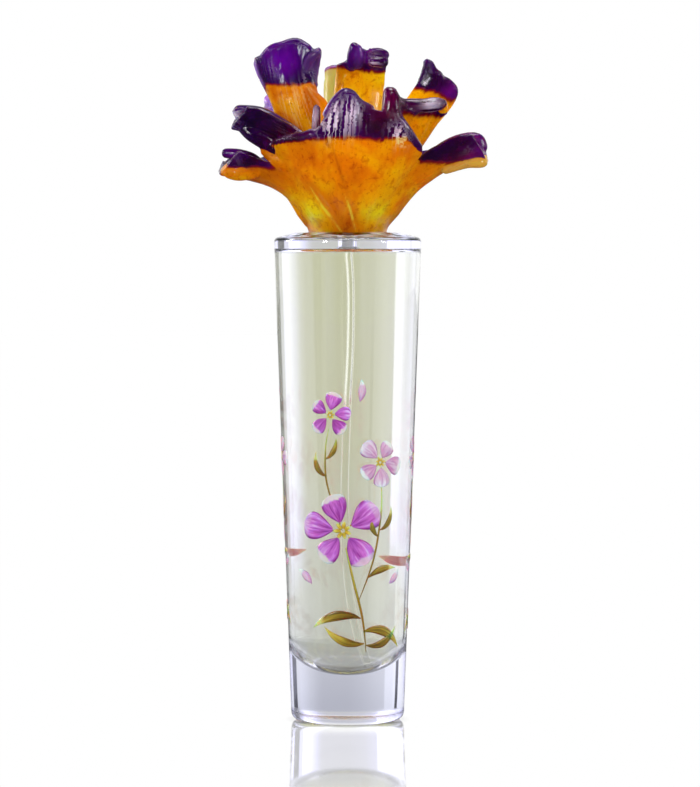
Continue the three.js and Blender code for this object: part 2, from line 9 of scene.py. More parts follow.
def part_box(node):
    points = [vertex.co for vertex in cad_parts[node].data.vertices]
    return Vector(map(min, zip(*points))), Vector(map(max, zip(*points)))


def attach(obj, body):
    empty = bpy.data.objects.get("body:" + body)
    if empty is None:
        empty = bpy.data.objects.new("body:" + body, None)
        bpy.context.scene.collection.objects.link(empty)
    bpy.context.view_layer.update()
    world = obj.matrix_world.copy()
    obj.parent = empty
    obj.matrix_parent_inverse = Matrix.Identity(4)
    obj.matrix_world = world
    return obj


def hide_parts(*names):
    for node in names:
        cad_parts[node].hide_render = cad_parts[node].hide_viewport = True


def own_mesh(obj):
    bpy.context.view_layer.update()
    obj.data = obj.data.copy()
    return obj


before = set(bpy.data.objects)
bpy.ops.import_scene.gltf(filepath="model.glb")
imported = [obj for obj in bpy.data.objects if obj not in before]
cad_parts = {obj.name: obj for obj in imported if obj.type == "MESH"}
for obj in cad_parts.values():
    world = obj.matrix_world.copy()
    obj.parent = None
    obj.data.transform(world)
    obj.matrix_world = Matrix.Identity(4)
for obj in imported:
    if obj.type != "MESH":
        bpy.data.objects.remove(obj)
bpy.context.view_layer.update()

MM = 0.001
SEED = 7

# ---- places taken from the frame ----------------------------------------------------------------
BODY = "bottle_and_stopper"
SEAT_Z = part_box("bloom_stopper")[0].z / MM  # the stopper's seat on the shoulder
SEAT = np.array((0.0, 0.0, SEAT_Z))
TOP_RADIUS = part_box("bottle")[1].x / MM
NECK_TOP_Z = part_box("bottle")[1].z / MM
LIQUID_LEVEL_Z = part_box("perfume")[1].z / MM
TUBE_TOP_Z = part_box("dip_tube")[1].z / MM
SPRING_FOOT_Z, SPRING_TOP_Z = (corner.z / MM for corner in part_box("pump_spring"))


# ---- mesh helpers -------------------------------------------------------------------------------
def mesh_object(name, verts, faces, smooth=True):
    """A mesh object from points in metres and faces."""
    mesh = bpy.data.meshes.new(name)
    mesh.from_pydata([tuple(v) for v in verts], [], [tuple(int(i) for i in f) for f in faces])
    mesh.validate()
    mesh.polygons.foreach_set("use_smooth", [smooth] * len(mesh.polygons))
    mesh.update()
    obj = bpy.data.objects.new(name, mesh)
    bpy.context.scene.collection.objects.link(obj)
    return obj


def filleted(points, steps=8):
    """Profile points (r, z, fillet radius) as plain (r, z) points with a curve at each corner."""
    out = []
    for i, (r, z, fillet) in enumerate(points):
        here = np.array((r, z), float)
        if not fillet or i in (0, len(points) - 1):
            out.append(here)
            continue
        before, after = (np.array(points[i + k][:2], float) - here for k in (-1, 1))
        length_a, length_b = np.linalg.norm(before), np.linalg.norm(after)
        a, b = before / length_a, after / length_b
        half = math.acos(max(-1, min(1, float(a @ b)))) / 2
        reach = min(fillet / math.tan(half), 0.49 * length_a, 0.49 * length_b)
        start, end = here + a * reach, here + b * reach
        for k in range(steps + 1):
            t = k / steps
            out.append((1 - t) ** 2 * start + 2 * t * (1 - t) * here + t**2 * end)
    return [tuple(p) for p in out]


def lathe(name, profile, segments=160):
    """A closed solid from (r, z) points, turned round the Z axis."""
    closed = profile[0][0] > 0
    verts, rings = [], []
    for r, z in profile:
        if r < 1e-9:
            rings.append([len(verts)] * segments)
            verts.append((0, 0, z * MM))
        else:
            rings.append(list(range(len(verts), len(verts) + segments)))
            for k in range(segments):
                a = 2 * math.pi * k / segments
                verts.append((r * math.cos(a) * MM, r * math.sin(a) * MM, z * MM))
    if closed:
        rings.append(rings[0])
    faces = []
    for low, high in zip(rings, rings[1:]):
        for k in range(segments):
            n = (k + 1) % segments
            ring = [low[k], low[n], high[n], high[k]]
            face = [v for i, v in enumerate(ring) if v != ring[i - 1]]
            if len(face) > 2:
                faces.append(face)
    return mesh_object(name, verts, faces)


def spline(rows, t):
    """Catmull-Rom through the rows of a table, every column at once. t runs from 0 to 1."""
    rows = np.asarray(rows, float)
    last = len(rows) - 1
    s = np.clip(t, 0, 1) * last
    i = np.minimum(s.astype(int), last - 1)
    f = (s - i)[..., None]
    a, b, d, e = (rows[np.clip(i + k, 0, last)] for k in (-1, 0, 1, 2))
    return 0.5 * (2 * b + (d - a) * f + (2 * a - 5 * b + 4 * d - e) * f**2
                  + (3 * b - a - 3 * d + e) * f**3)


def rings_along(path, radii, sides, side):
    """Rings of points round a path, one row per ring. side says where the first point lies."""
    tangents = np.gradient(path, axis=0)
    tangents /= np.linalg.norm(tangents, axis=1)[:, None]
    turn = np.arange(sides) * 2 * math.pi / sides
    rings = []
    for place, radius, tangent in zip(path, radii, tangents):
        side = side - tangent * (side @ tangent)
        side /= np.linalg.norm(side)
        ring = np.cos(turn)[:, None] * side + np.sin(turn)[:, None] * np.cross(tangent, side)
        rings.append(place + radius * ring)
    return np.array(rings)


def tube_faces(count, sides):
    """The skin between rings of points, and a face over each end."""
    last = (count - 1) * sides
    ends = [tuple(range(sides))[::-1], tuple(range(last, last + sides))]
    skin = []
    for j in range(0, last, sides):
        for k in range(sides):
            n = (k + 1) % sides
            skin.append((j + k, j + n, j + sides + n, j + sides + k))
    return skin, ends


def sweep(name, path, radius, sides, bore=0.0):
    """A round bar, or a tube with open ends, along a path."""
    count = len(path)
    side = np.cross(path[1] - path[0], (0.0, 1.0, 0.0))
    rings = rings_along(path, np.broadcast_to(radius, count), sides, side)
    skin, ends = tube_faces(count, sides)
    if bore:
        inner, last = count * sides, (count - 1) * sides
        rings = np.concatenate([rings, rings_along(path, np.full(count, bore), sides, side)])
        skin += [tuple(inner + i for i in face)[::-1] for face in skin]
        ends = []
        for k in range(sides):
            n = (k + 1) % sides
            ends.append((k, inner + k, inner + n, n))
            ends.append((last + k, last + n, inner + last + n, inner + last + k))
    return mesh_object(name, rings.reshape(-1, 3) * MM, skin + ends)


def shell_faces(rows, columns, flip=False):
    """Faces of a closed shell: its points are two sheets of rows and columns, one over the other."""
    under, last, edge = rows * columns, (rows - 1) * columns, columns - 1
    faces = []
    for a in range(0, last, columns):
        b = a + columns
        for i in range(edge):
            faces.append((a + i, a + i + 1, b + i + 1, b + i))
            faces.append((under + a + i, under + b + i, under + b + i + 1, under + a + i + 1))
        faces.append((a, b, under + b, under + a))
        faces.append((b + edge, a + edge, under + a + edge, under + b + edge))
    for i in range(edge):
        faces.append((i + 1, i, under + i, under + i + 1))
        faces.append((last + i, last + i + 1, under + last + i + 1, under + last + i))
    return [(face[0], *face[:0:-1]) for face in faces] if flip else faces


# ---- material helpers ---------------------------------------------------------------------------
def srgb(r, g, b):
    """An 8-bit sRGB colour as linear values."""
    return tuple(c / 255 / 12.92 if c / 255 <= 0.04045 else ((c / 255 + 0.055) / 1.055) ** 2.4
                 for c in (r, g, b))


def rgba(colour):
    """A colour with alpha, from three values or one grey value. Anything else is left as it is."""
    if isinstance(colour, (int, float)):
        return (colour, colour, colour, 1.0)
    if isinstance(colour, tuple) and len(colour) == 3:
        return (*colour, 1.0)
    return colour


class Nodes:
    """Adds nodes to a material's or world's tree and links them. Values may be sockets or numbers."""

    def __init__(self, owner):
        owner.use_nodes = True
        self.tree = owner.node_tree
        self.tree.nodes.clear()

    def add(self, kind, settings=None, **inputs):
        node = self.tree.nodes.new(kind)
        for key, value in (settings or {}).items():
            setattr(node, key, value)
        for key, value in inputs.items():
            self.feed(node, key.replace("_", " "), value)
        return node

    def feed(self, node, socket, value):
        target = node.inputs[socket]
        if isinstance(value, bpy.types.NodeSocket):
            self.tree.links.new(value, target)
        else:
            target.default_value = value

    def math(self, operation, a, b=0.0, c=0.0, clamp=False):
        node = self.add("ShaderNodeMath", {"operation": operation, "use_clamp": clamp})
        for i, value in enumerate((a, b, c)):
            self.feed(node, i, value)
        return node.outputs[0]

    def plus(self, a, b, clamp=False):
        return self.math("ADD", a, b, clamp=clamp)

    def times(self, a, b, clamp=False):
        return self.math("MULTIPLY", a, b, clamp=clamp)

    def line(self, value, slope, offset, clamp=False):
        """value * slope + offset"""
        return self.math("MULTIPLY_ADD", value, slope, offset, clamp)

    def mix(self, factor, a, b, blend="MIX"):
        node = self.add("ShaderNodeMix", {"data_type": "RGBA", "blend_type": blend})
        for i, value in ((0, factor), (6, rgba(a)), (7, rgba(b))):
            self.feed(node, i, value)
        return node.outputs[2]

    def ramp(self, factor, stops):
        """Stops are (position, colour or grey value)."""
        node = self.add("ShaderNodeValToRGB")
        elements = node.color_ramp.elements
        while len(elements) < len(stops):
            elements.new(0.5)
        for element, (position, colour) in zip(elements, stops):
            element.position = position
            element.color = rgba(colour)
        self.feed(node, 0, factor)
        return node.outputs[0]

    def noise(self, vector, scale, detail=3.0, roughness=0.5, distortion=0.0):
        return self.add("ShaderNodeTexNoise", Scale=scale, Detail=detail, Roughness=roughness,
                        Distortion=distortion, Vector=vector).outputs[0]

    def bump(self, height, strength, distance):
        return self.add("ShaderNodeBump", Strength=strength, Distance=distance,
                        Height=height).outputs[0]

    def attribute(self, name, output):
        return self.add("ShaderNodeAttribute", {"attribute_name": name}).outputs[output]

    def place(self, output="Object"):
        return self.add("ShaderNodeTexCoord").outputs[output]

    def split(self, vector):
        """The x, y and z of a vector."""
        return self.add("ShaderNodeSeparateXYZ", Vector=vector).outputs

    def principled(self, volume=None, **inputs):
        """Ends a material's tree with a Principled surface, and perhaps with what fills it."""
        self.surface(self.add("ShaderNodeBsdfPrincipled", **inputs), volume)

    def surface(self, shader, volume=None):
        out = self.add("ShaderNodeOutputMaterial", Surface=shader.outputs[0])
        if volume is not None:
            self.feed(out, "Volume", volume.outputs[0])


def new_material(name):
    material = bpy.data.materials.new(name)
    return material, Nodes(material)


def clothe(obj, material):
    """The object's only material is this one."""
    obj.data.materials.clear()
    obj.data.materials.append(material)


# ---- studio: camera, floor, lights --------------------------------------------------------------
# Places and sizes in the studio are in metres.
CAMERA_PLACE = (0.0007, -1.031, 0.145)
CAMERA_TILT = math.radians(2.641)
FOCAL_PIXELS = 3458.0
FRAME_LONG_SIDE = 787
SENSOR = 36.0


def add_camera():
    data = bpy.data.cameras.new("camera")
    data.sensor_width = SENSOR
    data.lens = FOCAL_PIXELS * SENSOR / FRAME_LONG_SIDE
    camera = bpy.data.objects.new("camera", data)
    camera.location = CAMERA_PLACE
    camera.rotation_euler = Euler((math.pi / 2 - CAMERA_TILT, 0, 0))
    bpy.context.scene.collection.objects.link(camera)
    bpy.context.scene.camera = camera


LIGHTS_AIM = (0, 0, 0.17)
LIGHTS = [  # name, place, width, height, power
    ("key", (-0.55, -0.75, 0.38), 0.12, 0.34, 4.4),
    ("fill", (0.8, -0.5, 0.42), 0.10, 0.4, 3.6),
    ("rim", (-0.75, 0.25, 0.45), 0.12, 0.4, 2.6),
    ("top", (0.1, -0.1, 0.95), 0.3, 0.3, 3.6),
]


def add_lights():
    for name, place, width, height, power in LIGHTS:
        data = bpy.data.lights.new(name, "AREA")
        data.shape = "RECTANGLE"
        data.size, data.size_y = width, height
        data.energy = power
        light = bpy.data.objects.new(name, data)
        light.location = place
        light.rotation_euler = (Vector(place) - Vector(LIGHTS_AIM)).to_track_quat("Z", "Y").to_euler()
        light.visible_camera = False
        light.visible_transmission = False
        bpy.context.scene.collection.objects.link(light)


DARK = 0.25
FLOOR_DARK = 0.1
WHITE = 2.0
# What is seen through the glass, by direction: (degrees from +Y towards +X, brightness as a share of
# the grey). Soft white panels stand to both sides of the grey back, and repeat every half turn.
PANELS = [
    (-90, WHITE), (-50.5, WHITE), (-49.5, 1.6), (-45.5, 1.7), (-44.5, WHITE), (-40, 1.8),
    (-35, 1.8), (-31, WHITE), (-22.8, WHITE), (-22, 1.2), (-16, 1.13), (-12, 1.06), (0, 1), (15, 1),
    (19, 1.02), (22, 1.17), (26.4, 1.5), (31, 1.85), (36, WHITE), (40.5, WHITE), (41.5, 1.3),
    (47.5, 1.3), (48.5, DARK), (62, DARK), (66, WHITE), (90, WHITE),
]
# the same for the floor close behind the bottle, which is seen through the lower half
FLOOR_PANELS = [
    (-90, WHITE), (-50.5, WHITE), (-49.5, 0.12), (-44.8, 0.12), (-43.8, 1.9), (-38, 1.7),
    (-29, 1.65), (-28, 1.3), (-19, 1.22), (-10, 1.1), (0, 1), (17, 1), (22, 1.08), (26, 1.18),
    (33, 1.3), (42, 1.45), (50.5, 1.45), (52, FLOOR_DARK), (62.5, FLOOR_DARK), (64.5, WHITE),
    (90, WHITE),
]
PANEL_TINT = 0.3  # how much bluer than the grey back a white panel is
TINTED_ABOVE = 0.5  # a panel this much brighter than the back has the full tint
FOCUS = 0.022  # how far behind its axis the bottle brings level rays together
GREY_BACK = (0.61, 0.61, 0.59)
# colour of the grey back, by the height of the direction
BACK = [
    (0.02, GREY_BACK), (0.06, (0.64, 0.64, 0.71)), (0.11, (0.56, 0.56, 0.63)),
    (0.18, (0.56, 0.56, 0.63)), (0.24, (0.69, 0.69, 0.78)), (0.45, (0.95, 0.95, 0.97)), (1.0, 1),
]
# the floor seen through the glass: (share of FLOOR_REACH from the axis, colour). Close round the
# axis it is dark, a painted shadow under the bottle.
FLOOR_REACH = 1.6
FLOOR_BACK = [
    (0.0, (0.10, 0.10, 0.11)), (0.0175, (0.13, 0.13, 0.14)), (0.0215, (0.465, 0.475, 0.555)),
    (0.06, (0.475, 0.485, 0.565)), (0.14, (0.525, 0.535, 0.615)), (0.32, (0.575, 0.58, 0.65)),
    (1.0, (0.61, 0.605, 0.60)),
]
# how bright a dark strip on the floor is at least: (share of FLOOR_REACH, colour)
FLOOR_FADE = [(0.09, 0), (0.16, (0.25, 0.25, 0.27)), (0.5, (0.42, 0.42, 0.47))]
# where the floor's panels give way to those of the back: (share of FLOOR_REACH, share of the back)
FLOOR_TO_BACK = [(0.34, 0), (0.6, 1)]
# how much the floor mirrors, from straight down to a grazing view
FLOOR_MIRROR = [(0.73, 0.0), (0.8, 0.45), (0.86, 0.66), (0.97, 0.72)]
FLOOR_ROUGHNESS = 0.04
# the bottle shades the floor round its foot: (share of FLOOR_REACH, brightness)
CONTACT = [(0.0097, 0.25), (0.0113, 1.0)]
# the dark strips on the floor show at a grazing view only: (facing, least brightness)
STRIPS_SHOW = [(0.72, 1.0), (0.8, 0.0)]
# What reflections see is a white band over the horizon, by height over a slightly tilted horizon
# and by azimuth, and dark elsewhere. Heights have 0.5 added.
BAND = [(0.40, 0), (0.43, 1), (0.60, 1), (0.70, 0.55), (1.0, 0.5)]
BAND_TILT = -0.06
BAND_SIDE = [(0.28, 0), (0.35, 0.5), (0.44, 0.5), (0.465, 1), (0.65, 1), (0.72, 0)]
# What the floor mirrors is white low over the horizon, all round but for the front, so that it
# stays pale: by height, and by how far the direction is from behind.
LOW_BAND = [(0.48, 0), (0.5, 1), (0.76, 1), (0.82, 0)]
LOW_BAND_SIDE = [(0.78, 1), (0.84, 0)]
AMBIENT = (0.86, 0.86, 0.88)
UNLIT = (0.03, 0.03, 0.035)
FLOOR_UNLIT = 0.06


def panels(nodes, x, y, table, tint):
    """Brightness of the studio's panels in the direction (x, y)."""
    azimuth = nodes.math("ARCTAN2", x, y)
    turn = nodes.math("FRACT", nodes.line(azimuth, 1 / math.pi, 0.5))
    top = WHITE * (1 + tint)
    stops = []
    for degrees, value in table:
        blue = 1 + tint * min(1, max(0, (value - 1) / TINTED_ABOVE))
        stops.append(((degrees + 90) / 180, (value / top, value / top, value * blue / top)))
    return nodes.mix(1.0, nodes.ramp(turn, stops), top, "MULTIPLY")


def add_world():
    """White to the camera; grey with bright panels to what is seen through the glass."""
    world = bpy.data.worlds.new("studio")
    bpy.context.scene.world = world
    nodes = Nodes(world)
    x, y, z = nodes.split(nodes.place("Generated"))
    through = nodes.mix(1.0, nodes.ramp(z, BACK), panels(nodes, x, y, PANELS, PANEL_TINT), "MULTIPLY")
    band = nodes.ramp(nodes.plus(nodes.line(y, BAND_TILT, z), 0.5), BAND)
    azimuth = nodes.math("ARCTAN2", x, y)
    side = nodes.ramp(nodes.line(azimuth, 0.5 / math.pi, 0.5), BAND_SIDE)
    path = nodes.add("ShaderNodeLightPath").outputs
    low = nodes.ramp(nodes.plus(z, 0.5), LOW_BAND)
    aside = nodes.ramp(nodes.times(nodes.math("ABSOLUTE", azimuth), 1 / math.pi), LOW_BAND_SIDE)
    rough = nodes.math("SUBTRACT", 1.0, path["Is Singular Ray"])
    low = nodes.times(nodes.times(low, aside), rough)
    reflected = nodes.mix(nodes.math("MAXIMUM", nodes.times(band, side), low), UNLIT, 1.0)
    colour = nodes.mix(path["Is Glossy Ray"], AMBIENT, reflected)
    colour = nodes.mix(path["Is Transmission Ray"], colour, through)
    colour = nodes.mix(path["Is Camera Ray"], colour, 1.0)
    background = nodes.add("ShaderNodeBackground", Color=colour, Strength=1.0)
    nodes.add("ShaderNodeOutputWorld", Surface=background.outputs[0])


def add_floor():
    half, depth = 4.0, -0.0002
    corners = [(-half, -half, depth), (half, -half, depth), (half, half, depth), (-half, half, depth)]
    floor = mesh_object("floor", corners, [(0, 1, 2, 3)], smooth=False)
    material, nodes = new_material("floor")
    path = nodes.add("ShaderNodeLightPath").outputs
    place = nodes.place()
    x, y, _ = nodes.split(place)
    length = nodes.add("ShaderNodeVectorMath", {"operation": "LENGTH"})
    nodes.feed(length, 0, place)
    share = nodes.math("DIVIDE", length.outputs["Value"], FLOOR_REACH, clamp=True)
    # close by, the panels are laid out about the line where the bottle brings level rays together
    ahead = nodes.line(nodes.math("SIGN", y), -FOCUS, y)
    near = panels(nodes, x, ahead, FLOOR_PANELS, 0.0)
    far = panels(nodes, x, ahead, PANELS, PANEL_TINT)
    facing = nodes.add("ShaderNodeLayerWeight", Blend=0.5).outputs["Facing"]
    near = nodes.mix(1.0, near, nodes.ramp(share, FLOOR_FADE), "LIGHTEN")
    near = nodes.mix(1.0, near, nodes.ramp(facing, STRIPS_SHOW), "LIGHTEN")
    bright = nodes.mix(nodes.ramp(share, FLOOR_TO_BACK), near, far)
    through = nodes.mix(1.0, nodes.ramp(share, FLOOR_BACK), bright, "MULTIPLY")
    mirror = nodes.ramp(facing, FLOOR_MIRROR)
    lit = nodes.mix(1.0, nodes.mix(1.0, 1.0, mirror, "SUBTRACT"), nodes.ramp(share, CONTACT), "MULTIPLY")
    colour = nodes.mix(path["Is Glossy Ray"], AMBIENT, FLOOR_UNLIT)
    colour = nodes.mix(path["Is Transmission Ray"], colour, through)
    colour = nodes.mix(path["Is Camera Ray"], colour, lit)
    glow = nodes.add("ShaderNodeEmission", Color=colour, Strength=1.0)
    shown = nodes.mix(path["Is Camera Ray"], 0.0, mirror)
    gloss = nodes.add("ShaderNodeBsdfGlossy", Color=shown, Roughness=FLOOR_ROUGHNESS)
    both = nodes.add("ShaderNodeAddShader")
    nodes.feed(both, 0, glow.outputs[0])
    nodes.feed(both, 1, gloss.outputs[0])
    nodes.surface(both)
    clothe(floor, material)


# ---- bottle, perfume, dip tube, spring ----------------------------------------------------------
FOOT_RADIUS = 16.9
FOOT_CORNER = 2.6
SHOULDER_EDGE_Z = 143.4
SEAT_RADIUS = 13.4
FLOOR_Z = 14.2
FLOOR_BOWL = 9.4  # height of the bowl-shaped floor, and of its turn into the wall
FLOOR_TURN = 1.0
FLOOR_CURVE_Z = FLOOR_Z + FLOOR_BOWL + FLOOR_TURN
CAVITY_FOOT_RADIUS = 14.2
CAVITY_TOP_RADIUS = 18.6
CEILING_Z = 140.7
NECK_BORE_RADIUS = 4.6
NECK_FOOT_BORE_RADIUS = 1.9
NECK_STEP_Z = 143.9
NECK_RADIUS = 6.6
BEAD_RADIUS = 7.5
BEAD_Z = 149.2


def cavity_radius(z):
    t = (z - FLOOR_CURVE_Z) / (CEILING_Z - FLOOR_CURVE_Z)
    return CAVITY_FOOT_RADIUS + (CAVITY_TOP_RADIUS - CAVITY_FOOT_RADIUS) * t


def outer_radius(z):
    return FOOT_RADIUS + (TOP_RADIUS - FOOT_RADIUS) * z / SHOULDER_EDGE_Z


def floor_profile(grow, steps=24):
    """The bowl-shaped floor of the hollow, from the axis out to the wall, grown into the glass."""
    out = []
    for i in range(steps + 1):
        share = math.sin(i / steps * math.pi / 2)
        rise = FLOOR_BOWL * share**2.5 + FLOOR_TURN * (1 - math.sqrt(1 - share**12))
        out.append(((CAVITY_FOOT_RADIUS + grow) * share, FLOOR_Z - grow + rise))
    return out


def add_bottle(material):
    outside = filleted([
        (0, 0, 0), (FOOT_RADIUS - 0.1, 0, FOOT_CORNER), (TOP_RADIUS, SHOULDER_EDGE_Z + 0.4, 1.7),
        (SEAT_RADIUS + 2.6, SEAT_Z - 0.2, 3.0), (SEAT_RADIUS, SEAT_Z, 0.4),
        (NECK_RADIUS, SEAT_Z, 0.5), (NECK_RADIUS, BEAD_Z - 0.8, 0.3), (BEAD_RADIUS, BEAD_Z, 0.3),
        (BEAD_RADIUS, NECK_TOP_Z, 0.4), (NECK_BORE_RADIUS, NECK_TOP_Z, 0.2),
        (NECK_BORE_RADIUS, NECK_STEP_Z + 0.3, 0.3), (NECK_FOOT_BORE_RADIUS, NECK_STEP_Z, 0.3),
        (NECK_FOOT_BORE_RADIUS, CEILING_Z + 0.6, 0.3), (NECK_FOOT_BORE_RADIUS + 0.6, CEILING_Z, 0.3),
        (cavity_radius(CEILING_Z), CEILING_Z, 2.0), (cavity_radius(CEILING_Z - 4), CEILING_Z - 4, 0),
    ])
    bottle = lathe("bottle_glass", outside + floor_profile(0)[::-1])
    clothe(bottle, material)
    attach(bottle, BODY)
    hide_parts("bottle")


LIQUID_OVERLAP = 0.06
# the liquid's surface: (how far out past the wall, or in from it below 0; how far below the level)
MENISCUS = [(0, 1), (0.02, 0.1), (-0.4, 0), (-1.0, 0.2), (-2.2, 0.28)]
MENISCUS_DEPTH = 0.3


def add_perfume(material):
    level = LIQUID_LEVEL_Z
    wall = cavity_radius(level - 1) + LIQUID_OVERLAP
    surface = [(wall + out, level - down) for out, down in MENISCUS] + [(0, level - MENISCUS_DEPTH)]
    perfume = lathe("perfume_liquid", floor_profile(LIQUID_OVERLAP) + surface)
    clothe(perfume, material)
    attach(perfume, BODY)
    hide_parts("perfume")


TUBE_RADIUS = 0.88
TUBE_BORE_RADIUS = 0.68
TUBE_ROUTE = [
    (0.0, 0, TUBE_TOP_Z), (0.3, 0, 138), (0.7, 0.1, 128), (0.6, 0.3, 112), (-0.1, 0.6, 92),
    (-0.6, 1.0, 70), (-0.4, 1.6, 52), (0.4, 2.4, 38), (2.0, 3.2, 26), (4.2, 3.6, 15.4),
]
AIR_START, AIR_END = 0.005, 0.445  # shares of the tube's length between which it holds air
AIR_OVERLAP = 0.03
AIR_TAPER = 0.04  # share of the air's length over which it narrows to its tip
AIR_TIP = 0.1


def add_dip_tube(material, air_material):
    route = spline(TUBE_ROUTE, np.linspace(0, 1, 120))
    tube = sweep("dip_tube_plastic", route, TUBE_RADIUS, 24, TUBE_BORE_RADIUS)
    clothe(tube, material)
    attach(tube, BODY)
    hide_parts("dip_tube")
    share = np.linspace(0, 1, 90)
    taper = 1 - (1 - AIR_TIP) * np.clip((share - 1 + AIR_TAPER) / AIR_TAPER, 0, 1) ** 2
    route = spline(TUBE_ROUTE, AIR_START + (AIR_END - AIR_START) * share)
    air = sweep("dip_tube_air", route, (TUBE_BORE_RADIUS + AIR_OVERLAP) * taper, 20)
    clothe(air, air_material)
    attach(air, BODY)


SPRING_RADIUS = 2.1
SPRING_WIRE_RADIUS = 0.2
SPRING_TURNS = 4


def add_spring(material):
    """The pump's return spring, coiled from the foot to the top that the part file gives it; the real
    spring shortens by the button's travel as the button goes down.
    """
    t = np.linspace(0, 1, 120)
    turn = 2 * math.pi * SPRING_TURNS * t
    foot, top = SPRING_FOOT_Z + SPRING_WIRE_RADIUS, SPRING_TOP_Z - SPRING_WIRE_RADIUS
    route = np.column_stack([SPRING_RADIUS * np.cos(turn), SPRING_RADIUS * np.sin(turn),
                             foot + (top - foot) * t])
    spring = sweep("pump_spring_wire", route, SPRING_WIRE_RADIUS, 10)
    clothe(spring, material)
    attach(spring, BODY)
    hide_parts("pump_spring")
    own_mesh(spring)
